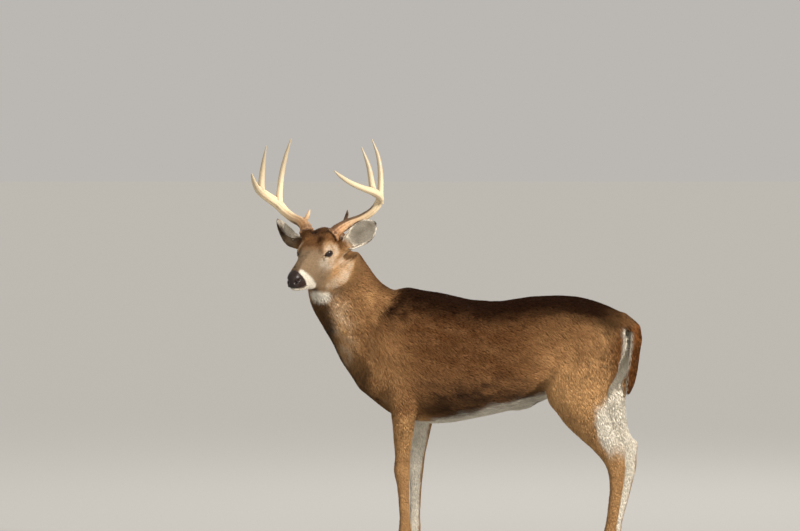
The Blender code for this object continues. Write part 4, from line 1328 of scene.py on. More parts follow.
def markings(at, edges):
    """The strongest of all the masks for each tone, softened and with mottled borders."""
    layers = [maker(at) for maker in (body_masks, head_masks, ear_masks, tail_masks)]
    total = {}
    coarse = ripple(at.points, 0.030, 3.0)
    fine = ripple(at.points, 0.009, 11.0)
    for tone in TONES[:-1]:
        mask = np.maximum.reduce([layer[tone] for layer in layers if tone in layer])
        mask = smooth_values(edges, mask, SOFT_ROUNDS.get(tone, MASK_ROUNDS))
        total[tone] = mottled(mask, coarse + FINE_SHARE * fine, MOTTLE)
    lips = LIP_BLACK * mouth_line(at.points) * at.head
    bare = np.maximum.reduce([nose_pad(at.points), lid_edges(at), lips])
    total = {tone: mask * (1.0 - bare) for tone, mask in total.items()}
    total["bare"] = bare
    return total


def add_value(mesh, name, values):
    """Stores one number for each point, which a material can read by its name."""
    layer = mesh.attributes.new(name, "FLOAT", "POINT")
    layer.data.foreach_set("value", np.ascontiguousarray(values, dtype=np.float32).ravel())


masks = markings(spots, edges)
for tone in TONES:
    add_value(skin_mesh, tone, masks[tone])
print("masks cover", {tone: covers(masks[tone]) for tone in TONES})

# %% [markdown]
# ## Writing materials as sums
# A material is a net of nodes, and nets of small sums are hard to read as boxes. Here one
# small class wraps a socket so that it can be added and multiplied like a number, and one
# method makes any other node from its type, its settings and what goes into its sockets.

# %% A socket that can be used in sums
class Wire:
    """A socket of a material, which can stand in a sum."""

    def __init__(self, finish, socket):
        self.finish = finish
        self.socket = socket

    def sum(self, operation, first, second):
        """A node that works out one step of a sum."""
        return self.finish.node("ShaderNodeMath", {"operation": operation}, {0: first, 1: second})

    def __add__(self, other):
        return self.sum("ADD", self, other)

    def __sub__(self, other):
        return self.sum("SUBTRACT", self, other)

    def __rsub__(self, other):
        return self.sum("SUBTRACT", other, self)

    def __mul__(self, other):
        return self.sum("MULTIPLY", self, other)

    def __pow__(self, other):
        return self.sum("POWER", self, other)

    __radd__ = __add__
    __rmul__ = __mul__


# %% A material that makes its own nodes
class Finish:
    """One material and the nodes in it."""

    def __init__(self, name):
        self.material = bpy.data.materials.new(name)
        self.material.use_nodes = True
        self.tree = self.material.node_tree
        self.tree.nodes.clear()

    def node(self, kind, settings=None, sockets=None, output=0):
        """A new node: its settings, what goes into its sockets, and the output to use."""
        made = self.tree.nodes.new(kind)
        for name, value in (settings or {}).items():
            if name == "stops":
                self.set_stops(made.color_ramp, value)
            else:
                setattr(made, name, value)
        for name, value in (sockets or {}).items():
            if isinstance(value, Wire):
                self.tree.links.new(value.socket, made.inputs[name])
            else:
                made.inputs[name].default_value = value
        return Wire(self, made.outputs[output])

    @staticmethod
    def set_stops(color_ramp, stops):
        """Gives a ramp of greys its stops."""
        while len(color_ramp.elements) < len(stops):
            color_ramp.elements.new(0.5)
        for element, (place, shade) in zip(color_ramp.elements, stops):
            element.position = place
            element.color = (shade, shade, shade, 1.0)

    def mask(self, name):
        """A number that the mesh carries at each of its points."""
        return self.node("ShaderNodeAttribute", {"attribute_name": name}, output=2)

    def mix(self, factor, first, second, blend="MIX"):
        """Colour between two colours."""
        settings = {"data_type": "RGBA", "blend_type": blend}
        return self.node("ShaderNodeMix", settings, {0: factor, 6: first, 7: second}, output=2)

    def noise(self, size, detail=2.0, rough=0.5):
        """Noise with features of the given size in metres."""
        place = self.node("ShaderNodeTexCoord", output=3)
        sockets = {"Vector": place, "Scale": 1.0 / size, "Detail": detail, "Roughness": rough}
        return self.node("ShaderNodeTexNoise", {}, sockets)

    def between(self, value, start, end):
        """0 where the value is at start and 1 where it is at end."""
        return self.node("ShaderNodeMapRange", {}, {0: value, 1: start, 2: end})

    def bump(self, height, strength, distance):
        """A surface that looks raised by a height."""
        sockets = {"Strength": strength, "Distance": distance, "Height": height}
        return self.node("ShaderNodeBump", {}, sockets)

    def surface(self, color, sockets):
        """Ends the material in one lit surface."""
        shader = self.node("ShaderNodeBsdfPrincipled", {}, {"Base Color": color, **sockets})
        end = self.tree.nodes.new("ShaderNodeOutputMaterial")
        self.tree.links.new(shader.socket, end.inputs["Surface"])


def linear(red, green, blue):
    """A colour on a scale of 0 to 255, turned into amounts of light."""
    parts = [part / 255 for part in (red, green, blue)]
    return (*[p / 12.92 if p <= 0.04045 else ((p + 0.055) / 1.055) ** 2.4 for p in parts], 1.0)


# %% [markdown]
# ## Fur as a finish
# A winter hair is grey brown at its root, darker along its middle and tipped with a lighter
# band, so the coat looks finely peppered. The colour starts as the brown of the flank and
# each mask lays its own tone over it. Along each tuft the tone then deepens at the root,
# where light can't reach, and clears at the tip, and every tuft is a touch lighter or darker
# than its neighbour.

# %% Colours of the coat
FLANK = linear(142, 102, 66)
TONE_COLORS = {
    "saddle": linear(36, 19, 8),
    "tan": linear(210, 164, 112),
    "grey": linear(158, 134, 106),
    "rust": linear(130, 82, 44),
    "dark": linear(46, 32, 23),
    "white": linear(246, 238, 222),
    "bare": linear(38, 27, 24),
}
ROOT_SHADE = 0.84
TIP_SHADE = 1.10
HAIR_BAND = 0.12  # how much the middle of a hair darkens
BAND_STOPS = ((0.0, 0.0), (0.35, 1.0), (0.62, 1.0), (0.85, 0.0))  # where along it


def coat_color(finish):
    """The brown of the flank with every mask's tone laid over it."""
    color = FLANK
    for tone in TONES:
        color = finish.mix(finish.mask(tone), color, TONE_COLORS[tone])
    return color


print("tones:", len(TONE_COLORS))


# %% Hair and the skin under it
def shaded(finish, color, value):
    """The colour made darker or lighter by a value."""
    grey = finish.node("ShaderNodeCombineColor", {}, {0: value, 1: value, 2: value})
    return finish.mix(1.0, color, grey, "MULTIPLY")


def hair_finish():
    """Hair that is darker at its root and in its middle, and paler at its tip."""
    finish = Finish("deer_hair")
    along = finish.mask("along")
    shade = finish.mask("shade")
    light = ROOT_SHADE + (TIP_SHADE - ROOT_SHADE) * along
    dark_band = finish.node("ShaderNodeValToRGB", {"stops": BAND_STOPS}, {0: along})
    pale = finish.mask("white")
    light = light * (1.0 - HAIR_BAND * dark_band * (1.0 - pale)) * shade
    color = shaded(finish, coat_color(finish), light)
    finish.surface(color, {"Roughness": 0.80, "Specular IOR Level": 0.03})
    return finish.material


def skin_finish():
    """The skin under the coat, seen between the hairs: the same tones, in their shadow."""
    finish = Finish("deer_skin")
    bare = finish.mask("bare")
    grain = finish.noise(0.0016, 3.0, 0.6)
    pores = finish.noise(0.0024, 1.0, 0.4)
    clumps = finish.noise(0.007, 2.0)
    light = (0.72 + 0.24 * grain) * (0.88 + 0.24 * clumps)
    light = light * (1.0 - bare) + bare * (0.80 + 0.40 * pores)
    color = shaded(finish, coat_color(finish), light)
    height = grain * (1.0 - bare) + pores * bare
    bump = finish.bump(height, 0.6, 0.0012)
    rough = 0.85 - 0.53 * bare
    finish.surface(color, {"Roughness": rough, "Normal": bump, "Specular IOR Level": 0.35})
    return finish.material


# %% Dress the skin
HAIR = hair_finish()
skin_mesh.materials.clear()
skin_mesh.materials.append(skin_finish())
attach(skin, "root")
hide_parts(*FLESH)
print("finishes:", [m.name for m in (HAIR, skin_mesh.materials[0])])

# %% [markdown]
# ## The coat
# A real coat has millions of hairs, and they stick together in small locks. Each lock is made
# here as a tuft: a thin, closed, leaf-shaped solid with a root, two edges, a ridge and a tip.
# Roots are spread evenly over the skin by area, more densely where the hair is short. Each
# tuft starts in the skin, follows the flow of the hair and ends at the coat's outer surface.
# All the tufts of one region are worked out together as tables of points, which is far
# quicker than making them one by one.

# %% Spread the roots
TUFTS = {  # part: tufts to each square metre, width of a tuft
    "trunk": (106000, 0.0028),
    "neck": (116000, 0.0027),
    "head": (350000, 0.0017),
    "ear": (250000, 0.0015),
    "leg": (120000, 0.0022),
    "tail": (150000, 0.0028),
}
TUFT_ROUNDS = 4
SEED = 20
random = np.random.default_rng(SEED)


def triangle_areas(corners):
    """The area of each triangle, from a table of its three corners."""
    first, second, third = corners.transpose(1, 0, 2)
    return np.linalg.norm(np.cross(second - first, third - first), axis=1) / 2


triangles = read_rows(skin_mesh.loops, "vertex_index", 1, np.int32).reshape(-1, 3)
density, width = (smooth_values(edges, from_table(TUFTS, column, labels), TUFT_ROUNDS)
                  for column in (0, 1))
areas = triangle_areas(points[triangles])
hairy = 1.0 - masks["bare"]
crowd = areas * (density * hairy)[triangles].mean(axis=1)
total = int(crowd.sum())
steps = (np.arange(total) + random.random(total)) * (crowd.sum() / total)
home = np.searchsorted(np.cumsum(crowd), steps).clip(0, len(triangles) - 1)
spread = random.random((total, 2))
fold = spread.sum(axis=1) > 1
spread[fold] = 1 - spread[fold]
shares = np.column_stack((1 - spread.sum(axis=1), spread))
print("skin of", round(float(areas.sum()), 2), "square metres carries", total, "tufts")


# %% Read every field at the roots
def at_roots(values):
    """A value of the skin's points, read at the roots of the tufts."""
    picked = values[triangles[home]]
    if values.ndim == 1:
        return np.sum(picked * shares, axis=1)
    return np.sum(picked * shares[:, :, None], axis=1)


roots = at_roots(points)
root_normals = unit(at_roots(normals))
root_flow = unit(at_roots(flow))
root_length = at_roots(length)
root_depth = at_roots(depth)
root_width = at_roots(width)
root_labels = labels[triangles[home, 0]]
root_map = np.sum(skin_map[home] * shares[:, :, None], axis=1)
root_masks = {tone: at_roots(masks[tone]) for tone in TONES}


# %% How a tuft lies
SWAY = math.radians(9)  # how far the flow wanders from place to place
SCATTER = math.radians(7)  # how far each tuft strays by itself
RIDGE = 0.12  # height of a tuft's ridge, as a share of its width
ROOT_SINK = 0.0006
WRAP_LIMIT = -0.1  # a tuft whose tip would lie on the far side of a thin part
FREE_SHARE = 0.55  # is shortened to this share of its length and stands free
CREST = 0.0060  # how far the hair between the antlers stands up


def crest_share(places):
    """1 on the crown between the antlers."""
    measure = skull_measure(places)
    return blob(measure, (-0.062, 0.0, 0.068), (0.034, 0.034, 0.040))


def swayed(directions, normals, angles):
    """Turns each direction in the plane of the skin."""
    sideways = np.cross(normals, directions)
    return directions * np.cos(angles)[:, None] + sideways * np.sin(angles)[:, None]


def laid_on_skin(places, tree):
    """The nearest places on the skin and the way out from it there."""
    hits = [tree.find_nearest(Vector(place)) for place in places.tolist()]
    return np.array([hit[0] for hit in hits]), np.array([hit[1] for hit in hits])


print("each tuft strays by", round(math.degrees(SCATTER)), "degrees")

# %% Shape the tufts
wander = ripple(roots, 0.060, 5.0) * SWAY * 1.6 + ripple(roots, 0.014, 7.0) * SWAY
wander += random.normal(0.0, SCATTER, total)
heading = swayed(root_flow, root_normals, wander)
long = root_length * random.uniform(0.72, 1.12, total)
tip_height = root_depth * random.uniform(0.66, 1.08, total)
clump = 0.5 + 0.5 * ripple(roots, 0.018, 9.0)
tip_height *= 0.84 + 0.16 * clump
tip_height += CREST * crest_share(roots) * random.uniform(0.3, 1.0, total)
wide = root_width * random.uniform(0.75, 1.25, total)
skin_tree = BVHTree.FromPolygons(points.tolist(), triangles.tolist())
tips, tip_normals = laid_on_skin(roots + heading * (long * 0.97)[:, None], skin_tree)
middles, middle_normals = laid_on_skin(roots + heading * (long * 0.45)[:, None], skin_tree)
wrapped = np.sum(tip_normals * root_normals, axis=1) < WRAP_LIMIT
long = np.where(wrapped, long * FREE_SHARE, long)
for ends, end_normals, share in ((tips, tip_normals, 1.0), (middles, middle_normals, 0.5)):
    ends[wrapped] = (roots + heading * (long * share)[:, None])[wrapped]
    end_normals[wrapped] = root_normals[wrapped]
tips += tip_normals * tip_height[:, None]
middles += middle_normals * (tip_height * 0.72)[:, None]
across = unit(np.cross(root_normals, heading)) * (wide / 2)[:, None]
ridges = middles + middle_normals * (wide * RIDGE)[:, None]
TUFT = np.stack((roots - root_normals * ROOT_SINK, middles - across, middles + across,
                 ridges, tips), axis=1)
print("tufts from", round(long.min() * 1000, 1), "to", round(long.max() * 1000, 1), "mm long;",
      wrapped.sum(), "stand free")


# %% Share the tufts out between regions
def region_names(places, labels):
    """The name of the coat piece that each tuft belongs to."""
    x, y, z = trunk_measure(places)
    left = skull_measure(places)[1]
    names = np.array(["coat_" + name for name in FLESH])[labels].astype("U40")
    side = np.where(y < 0, "left", "right")
    quarter = np.where(x < 0.36, "front", "rear")
    for here, parts in (
        (belongs(labels, "trunk"), ("coat_trunk_", quarter, "_", side)),
        (belongs(labels, "neck"), ("coat_neck_", np.where(z > 0.90, "upper", "lower"))),
        (belongs(labels, "head"), ("coat_head_", np.where(left > 0, "left", "right"))),
        (belongs(labels, "leg_front"), ("coat_legs_front",)),
        (belongs(labels, "leg_hind"), ("coat_legs_hind",)),
    ):
        whole = np.full(len(places), "", dtype="U40")
        for part in parts:
            whole = np.char.add(whole, part)
        names[here] = whole[here]
    return names


regions = region_names(roots, root_labels)
print("regions:", ", ".join(np.unique(regions)))

# %% A mesh from tables
TUFT_FACES = np.array(((0, 1, 3), (0, 3, 2), (1, 4, 3), (3, 4, 2), (0, 2, 1), (1, 2, 4)))
TUFT_ALONG = np.array((0.0, 0.45, 0.45, 0.52, 1.0))
TUFT_PATCH = np.array(((0.5, 0.0), (0.0, 0.45), (1.0, 0.45), (0.5, 0.5), (0.5, 1.0)))
PATCH = 0.003  # size of a tuft's patch on the map
SHADE_SPREAD = 0.12  # how much the tufts differ in lightness
SHADE_LIMITS = (0.70, 1.32)
tuft_shade = random.normal(1.0, SHADE_SPREAD, total).clip(*SHADE_LIMITS)


def triangle_mesh(name, vertices, faces):
    """A mesh straight from tables of points and triangles."""
    mesh = bpy.data.meshes.new(name)
    mesh.vertices.add(len(vertices))
    mesh.vertices.foreach_set("co", vertices.astype(np.float32).ravel())
    mesh.loops.add(faces.size)
    mesh.loops.foreach_set("vertex_index", faces.astype(np.int32).ravel())
    mesh.polygons.add(len(faces))
    mesh.polygons.foreach_set("loop_start", np.arange(0, faces.size, 3, dtype=np.int32))
    mesh.update(calc_edges=True)
    return mesh


print("a tuft has", len(TUFT_FACES), "faces")


# %% Make one piece of coat for each region
def coat_piece(name, chosen):
    """One region's tufts as a single mesh."""
    count = len(chosen)
    corners = len(TUFT_ALONG)
    faces = (np.arange(count)[:, None, None] * corners + TUFT_FACES).reshape(-1, 3)
    mesh = triangle_mesh(name, TUFT[chosen].reshape(-1, 3), faces)
    for tone in TONES:
        add_value(mesh, tone, np.repeat(root_masks[tone][chosen], corners))
    add_value(mesh, "along", np.tile(TUFT_ALONG, count))
    add_value(mesh, "shade", np.repeat(tuft_shade[chosen], corners))
    sheet = root_map[chosen][:, None, :] + (TUFT_PATCH - 0.5) * PATCH
    sheet = sheet.reshape(-1, 2).clip(0.0, 1.0)[faces.ravel()]
    mesh.uv_layers.new(name=MAP).data.foreach_set("uv", sheet.astype(np.float32).ravel())
    mesh.materials.append(HAIR)
    mesh.shade_smooth()
    piece = new_object(name, mesh)
    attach(piece, "root")
    return len(faces)


for name in np.unique(regions):
    size = coat_piece(str(name), np.nonzero(regions == name)[0])
    print(name, "has", size, "triangles")

# %% [markdown]
# ## Antlers
# A buck's antler is bare bone: a main beam that sweeps out, back and then forward, with
# points rising from it. Near the skull it is brown, ridged and studded with small pearls
# round a rough collar, the burr, and towards the tips it is worn smooth and pale. The beam
# and points are built as tubes along smooth curves with shallow furrows, merged with a
# remesh so that the forks flow into each other, and the pearls are then raised on the result.

# %% The lines of the beams
BEAM = {  # level measure: ahead, out, above the eyes, radius
    "left": (
        (-0.038, 0.0530, 0.070, 0.0205),
        (-0.057, 0.0690, 0.090, 0.0190),
        (-0.077, 0.0950, 0.108, 0.0168),
        (-0.096, 0.1350, 0.126, 0.0147),
        (-0.107, 0.1735, 0.152, 0.0135),
        (-0.105, 0.1990, 0.183, 0.0139),
        (-0.070, 0.2190, 0.202, 0.0135),
        (-0.016, 0.2240, 0.220, 0.0137),
        (0.035, 0.2120, 0.231, 0.0108),
        (0.085, 0.1925, 0.245, 0.0090),
        (0.130, 0.1750, 0.265, 0.0064),
        (0.159, 0.1640, 0.284, 0.0022),
    ),
    "right": (
        (-0.038, 0.0520, 0.074, 0.0205),
        (-0.057, 0.0690, 0.094, 0.0195),
        (-0.077, 0.0970, 0.109, 0.0176),
        (-0.096, 0.1370, 0.121, 0.0161),
        (-0.107, 0.1770, 0.143, 0.0161),
        (-0.105, 0.2060, 0.171, 0.0180),
        (-0.070, 0.2240, 0.194, 0.0168),
        (-0.016, 0.2260, 0.216, 0.0147),
        (0.035, 0.2120, 0.230, 0.0109),
        (0.085, 0.1925, 0.245, 0.0090),
        (0.130, 0.1750, 0.265, 0.0064),
        (0.159, 0.1640, 0.284, 0.0022),
    ),
}
print("stations of each beam:", len(BEAM["left"]))

# %% The lines of the points, and the burr
POINTS = (
    ((-0.060, 0.0850, 0.092, 0.0095), (-0.066, 0.0830, 0.101, 0.0094),
     (-0.083, 0.0795, 0.122, 0.0077), (-0.096, 0.0770, 0.140, 0.0055),
     (-0.102, 0.0750, 0.154, 0.0018)),
    ((-0.105, 0.2010, 0.176, 0.0135), (-0.110, 0.2010, 0.215, 0.0109),
     (-0.119, 0.1970, 0.280, 0.0094), (-0.125, 0.1840, 0.342, 0.0068),
     (-0.122, 0.1610, 0.402, 0.0018)),
    ((-0.016, 0.2230, 0.217, 0.0135), (-0.012, 0.2200, 0.248, 0.0112),
     (-0.006, 0.2100, 0.310, 0.0080), (0.008, 0.1890, 0.378, 0.0018)),
)
LIFT = {"left": 0.012, "right": 0.0}  # the left beam's tip is carried higher
LIFT_FROM = 7  # station of the beam at which the lift starts
PEDICLE_SINK = 0.016  # how far the beam goes on down under the skin
ROOT_TAPER = 0.55  # and how much narrower it is there
BURR_RADIUS = 0.0264
BURR_HALF = 0.0062
BURR_WAVE = 0.070  # how jagged its rim is
BURR_DROP = 0.0015  # how far it sits below the beam's first station
print("points that rise from each beam:", len(POINTS))


# %% Smooth curves
def curve_through(stations, steps):
    """Points on a smooth curve through the stations, steps to each span."""
    rows = np.array(stations, float)
    before = np.vstack((2 * rows[0] - rows[1], rows[:-1]))
    after = np.vstack((rows[1:], 2 * rows[-1] - rows[-2]))
    slopes = (after - before) / 2
    out = []
    for i in range(len(rows) - 1):
        t = np.linspace(0, 1, steps, endpoint=False)[:, None]
        out.append((1 + 2 * t) * (1 - t) ** 2 * rows[i] + t * (1 - t) ** 2 * slopes[i]
                   + t * t * (3 - 2 * t) * rows[i + 1] + t * t * (t - 1) * slopes[i + 1])
    out.append(rows[-1:])
    return np.vstack(out)


print("a curve through 3 places:", len(curve_through(((0, 0), (1, 1), (2, 0)), 4)), "points")


# %% Furrowed tubes
RING = 28  # points round a tube
FURROWS = 9
TURN = np.arange(RING) / RING * 2 * math.pi


def antler_line(stations, side):
    """The stations as points and radii in the room."""
    return [(*level_point(a, b * SIDES[side], h), r) for a, b, h, r in stations]


def tube(rows, phase, furrow):
    """A closed tube with shallow lengthwise furrows that wander slowly round it."""
    centres, radii = rows[:, :3], rows[:, 3]
    heading = unit(np.gradient(centres, axis=0))
    rounds = []
    sideways = unit(np.cross(heading[0], (0.3, 0.2, 0.9)))
    for centre, ahead, radius, step in zip(centres, heading, radii, range(len(rows))):
        sideways = unit(sideways - ahead * (sideways @ ahead))
        up = np.cross(ahead, sideways)
        wave = np.cos(FURROWS * TURN + phase + 0.05 * step)
        wave += 0.7 * np.cos((FURROWS - 4) * TURN - 0.09 * step + 2 * phase)
        size = radius * (1.0 + furrow * wave)
        rounds.append(centre + size[:, None] * (np.cos(TURN)[:, None] * sideways
                                                + np.sin(TURN)[:, None] * up))
    work = bmesh.new()
    loops = [[work.verts.new(p) for p in ring] for ring in rounds]
    for low, high in zip(loops, loops[1:]):
        for i in range(RING):
            j = (i + 1) % RING
            work.faces.new((low[i], low[j], high[j], high[i]))
    work.faces.new(loops[0][::-1])
    work.faces.new(loops[-1])
    bmesh.ops.recalc_face_normals(work, faces=work.faces)
    return finished(work, "tube")


print("a tube has", FURROWS, "furrows")


# %% Merge the tubes of one antler
ANTLER_GRAIN = 0.0016
FURROW = 0.035
SPAN_STEPS = 8  # points of a curve to each span between stations
BURR_STEPS = 4
BURR_PROFILE = ((-1.15, 0.80), (-0.7, 0.96), (0.0, 1.0), (0.7, 0.92), (1.3, 0.74))


def beam_rows(side):
    """The stations of the beam as points and radii in the room."""
    stations = np.array(BEAM[side], float)
    last = len(stations) - 1
    stations[:, 2] += LIFT[side] * ramp(np.arange(last + 1), LIFT_FROM, last)
    return np.array(antler_line(stations, side))


def antler_form(side):
    """Beam, points and burr as one closed mesh, the burr's middle, and the way to the skull."""
    rows = beam_rows(side)
    down = unit(rows[0, :3] - rows[1, :3])
    root = rows[0].copy()
    root[:3] += down * PEDICLE_SINK
    root[3] *= ROOT_TAPER
    tubes = [tube(curve_through(np.vstack((root, rows)), SPAN_STEPS), 0.0, FURROW)]
    for index, line in enumerate(POINTS):
        path = curve_through(antler_line(line, side), SPAN_STEPS)
        tubes.append(tube(path, 1.0 + index, FURROW))
    burr = rows[0, :3] + down * BURR_DROP
    collar = [(*(burr - down * BURR_HALF * t), BURR_RADIUS * r) for t, r in BURR_PROFILE]
    tubes.append(tube(curve_through(collar, BURR_STEPS), 0.4, BURR_WAVE))
    return remeshed(joined(tubes), ANTLER_GRAIN), burr, down


print("beam of", len(beam_rows("left")), "stations with", len(POINTS), "points")

# %% Raise the pearls, mark the stains and the painted shade
ANTLER_SMOOTH = 3
PEARL_SIZE = 0.0045
PEARL_REACH = 0.110  # how far from the burr the pearls go
PEARL_HEIGHT = 0.0017
PEARL_GAIN = 1.6  # the noise seldom comes near 1
BONE_GRAIN = 0.0060
BONE_RELIEF = 0.00035
HOLLOW_ROUNDS = 14
HOLLOW_GAIN = 1500
CLEAN_REACH = 0.20  # how far from the burr the bone is wholly clean
# the left beam is darker on its upper side; the right beam carries painted shade on its lower side
DARKER_SIDES = {"left": (1, 0.27), "right": (-1, 0.13)}  # dark above or below, and how far out


def relief(surface, pearls, away):
    """How far each point of the bone is raised by pearls and grain."""
    raised = np.maximum(pearls, 0.0) ** 0.7 * ramp(away, PEARL_REACH, 0.02)
    raised = raised * PEARL_HEIGHT * PEARL_GAIN
    return raised + ripple(surface * (1, 1, 0.5), BONE_GRAIN, 31.0) * BONE_RELIEF


def hollows(surface, edges, out, pearls, away):
    """Less than 0 in the furrows and between the pearls, where stain settles."""
    low = smooth_values(edges, surface, HOLLOW_ROUNDS)
    height = np.sum((surface - low) * out, axis=1) * HOLLOW_GAIN
    return (height + pearls * ramp(away, 0.13, 0.03) * 0.6).clip(-1, 1)


def beam_darkening_and_shade(surface, out, away, burr, down, side):
    """1 on the darker upper side of the left beam, in the painted shade on the lower side of the
    right beam, under the burr and round it.
    """
    facing, reach = DARKER_SIDES[side]
    # painted shade on the right beam, a darker upper side on the left
    dark_side = ramp(out[:, 2] * facing, 0.05, 0.60) * ramp(away, reach, reach * 0.55)
    under_burr = ramp((surface - burr) @ down, 0.001, 0.006)
    return np.maximum.reduce([dark_side, under_burr, 0.45 * ramp(away, 0.036, 0.026)])


print("pearls", PEARL_SIZE * 1000, "mm wide and up to", PEARL_HEIGHT * 1000, "mm high")


# %% Build the antlers
def build_antler(side):
    """One antler with its pearls, and the masks that its finish reads."""
    mesh, burr, down = antler_form(side)
    edges = mesh_edges(mesh)
    surface = smooth_values(edges, mesh_points(mesh), ANTLER_SMOOTH)
    set_points(mesh, surface)
    out = mesh_normals(mesh)
    away = np.linalg.norm(surface - burr, axis=1)
    pearls = ripple(surface, PEARL_SIZE, 21.0)
    set_points(mesh, surface + out * relief(surface, pearls, away)[:, None])
    add_value(mesh, "clean", np.clip(away / CLEAN_REACH, 0, 1))
    add_value(mesh, "groove", hollows(surface, edges, out, pearls, away))
    add_value(mesh, "tip", ramp(surface[:, 2] - burr[2], 0.08, 0.26))
    add_value(mesh, "weathered", beam_darkening_and_shade(surface, out, away, burr, down, side))
    mesh.shade_smooth()
    return new_object("antler_" + side, mesh)


antlers = {side: build_antler(side) for side in SIDES}
print("antlers:", {side: len(thing.data.polygons) for side, thing in antlers.items()}, "faces")


# %% Bone, stained at the base, with painted shade on one side, and worn pale at the tips
BROWN_BONE = linear(182, 126, 76)
PALE_BONE = linear(234, 213, 176)
WORN_TIP = linear(184, 168, 140)
DARK_BONE_AND_SHADE = linear(66, 42, 25)
FURROW_STAIN = linear(92, 55, 30)


def antler_finish():
    """Bone that is brown at the base, pale along the beam and worn grey at the tips, with painted
    shade on the right beam's lower side.
    """
    finish = Finish("antler_bone")
    tip = finish.mask("tip")
    blotch = finish.noise(0.030, 3.0)
    fine = finish.noise(0.0035, 4.0, 0.6)
    clean = finish.between(finish.mask("clean") + 0.35 * blotch - 0.17, 0.02, 0.85)
    color = finish.mix(clean, BROWN_BONE, PALE_BONE)
    color = finish.mix(tip, color, WORN_TIP)
    # the darker side of each beam, painted shade on the right one, and the brown under and round
    # the burr
    color = finish.mix(finish.mask("weathered") * (0.55 + 0.6 * blotch), color, DARK_BONE_AND_SHADE)
    stain = finish.between(finish.mask("groove") * (1.0 - 0.6 * tip) + 0.5 * fine, 0.45, -0.60)
    color = finish.mix(stain * 0.85, color, FURROW_STAIN)
    bump = finish.bump(fine, 0.35, 0.0008)
    rough = 0.62 - 0.22 * tip
    finish.surface(color, {"Roughness": rough, "Normal": bump, "Specular IOR Level": 0.4})
    return finish.material


BONE = antler_finish()
for side, antler in antlers.items():
    antler.data.materials.append(BONE)
    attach(antler, "root")
    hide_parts(*[n for n in frame["nodes"] if n.startswith("antler_" + side)])
print("finish:", BONE.name)

# %% [markdown]
# ## Eyes
# A deer's eye is a dark wet ball. Its pupil is a wide level slit, so dark against the deep
# brown iris that the eye looks black from afar, and a clear coat gives it the highlight that
# makes it look alive. A fine ball is turned so that its pole looks out of the socket, and
# masks for pupil, iris and white are worked out from each point's place on it.

# %% Eyeballs
PUPIL = (0.0070, 0.0028)  # half length and half height
IRIS = 0.0125
IRIS_EDGE = 0.0008  # half the width of its soft border
CORNEA = 0.0006  # how far the clear front bulges


def unit_ball():
    """A ball of radius 1 with its poles up and down."""
    work = bmesh.new()
    bmesh.ops.create_uvsphere(work, u_segments=72, v_segments=48, radius=1.0)
    return work


def face_out(mesh):
    """Turns every face to point away from the inside."""
    work = bmesh.new()
    work.from_mesh(mesh)
    bmesh.ops.recalc_face_normals(work, faces=work.faces)
    work.to_mesh(mesh)
    work.free()


def build_eye(side):
    """An eyeball turned to look out of its socket, with the masks of its iris and pupil."""
    outward, slit, rise = eye_axes(side)
    mesh = finished(unit_ball(), "eye_" + side)
    ball = mesh_points(mesh)
    facing = ball[:, 2]
    place = ball * (EYE_RADIUS + CORNEA * ramp(facing, 0.62, 0.92))[:, None]
    turned = place[:, :1] * slit + place[:, 1:2] * rise + place[:, 2:] * outward
    set_points(mesh, eye_centre(side) + turned)
    face_out(mesh)
    oval = np.hypot(place[:, 0] / PUPIL[0], place[:, 1] / PUPIL[1])
    around = np.hypot(place[:, 0], place[:, 1])
    add_value(mesh, "pupil", ramp(oval, 1.15, 0.9) * (facing > 0))
    add_value(mesh, "iris", ramp(around, IRIS + IRIS_EDGE, IRIS - IRIS_EDGE) * (facing > 0))
    mesh.shade_smooth()
    return new_object("eyeball_" + side, mesh)


eyeballs = {side: build_eye(side) for side in SIDES}
print("eyeballs of", round(EYE_RADIUS * 2000, 1), "mm")


# %% Wet eyes
def eye_finish():
    """A dark iris and a black pupil under a clear wet coat."""
    finish = Finish("eye_wet")
    streaks = finish.noise(0.0012, 2.0)
    color = finish.mix(finish.mask("iris"), linear(34, 26, 22), linear(44, 25, 14))
    color = finish.mix(streaks * 0.5, color, linear(24, 14, 9))
    color = finish.mix(finish.mask("pupil"), color, linear(4, 4, 6))
    finish.surface(color, {"Roughness": 0.30, "Specular IOR Level": 0.0, "Coat Weight": 1.0,
                           "Coat Roughness": 0.03})
    return finish.material


WET = eye_finish()
for side, eye in eyeballs.items():
    eye.data.materials.append(WET)
    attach(eye, "root")
    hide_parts("eye_" + side)
print("finish:", WET.name)

# %% [markdown]
# ## Hooves and dewclaws
# A hoof is horn that grows down from the coronet in faint rings and wears at its edge. The
# solid claws already have the right size, so each is copied, rebuilt finely, smoothed, and
# given rings by moving its points in and out with height. The sole keeps its level.

# %% Shape a claw
HORN_GRAIN = 0.0011
RING_STEP = 0.0034
RING_DEPTH = 0.00012
SOLE = 0.0012  # below this height nothing moves
HORN_ROUNDS = 5


def build_horn(name):
    """A claw rebuilt finely, with its growth rings."""
    mesh = remeshed(swollen(name, 0.0), HORN_GRAIN)
    before = mesh_points(mesh)
    soft = smooth_values(mesh_edges(mesh), before, HORN_ROUNDS)
    lift = ramp(before[:, 2], SOLE, SOLE * 3)
    set_points(mesh, before + (soft - before) * lift[:, None])
    rings = np.sin((before[:, 2] + 0.35 * before[:, 0]) / RING_STEP * 2 * math.pi)
    rings += 0.8 * ripple(before, 0.006, 41.0)
    set_points(mesh, mesh_points(mesh) + mesh_normals(mesh) * (rings * lift * RING_DEPTH)[:, None])
    add_value(mesh, "wear", ramp(before[:, 2], 0.010, 0.001))
    add_value(mesh, "rings", rings)
    mesh.shade_smooth()
    return new_object(name + "_horn", mesh)


print("a ring every", RING_STEP * 1000, "mm")


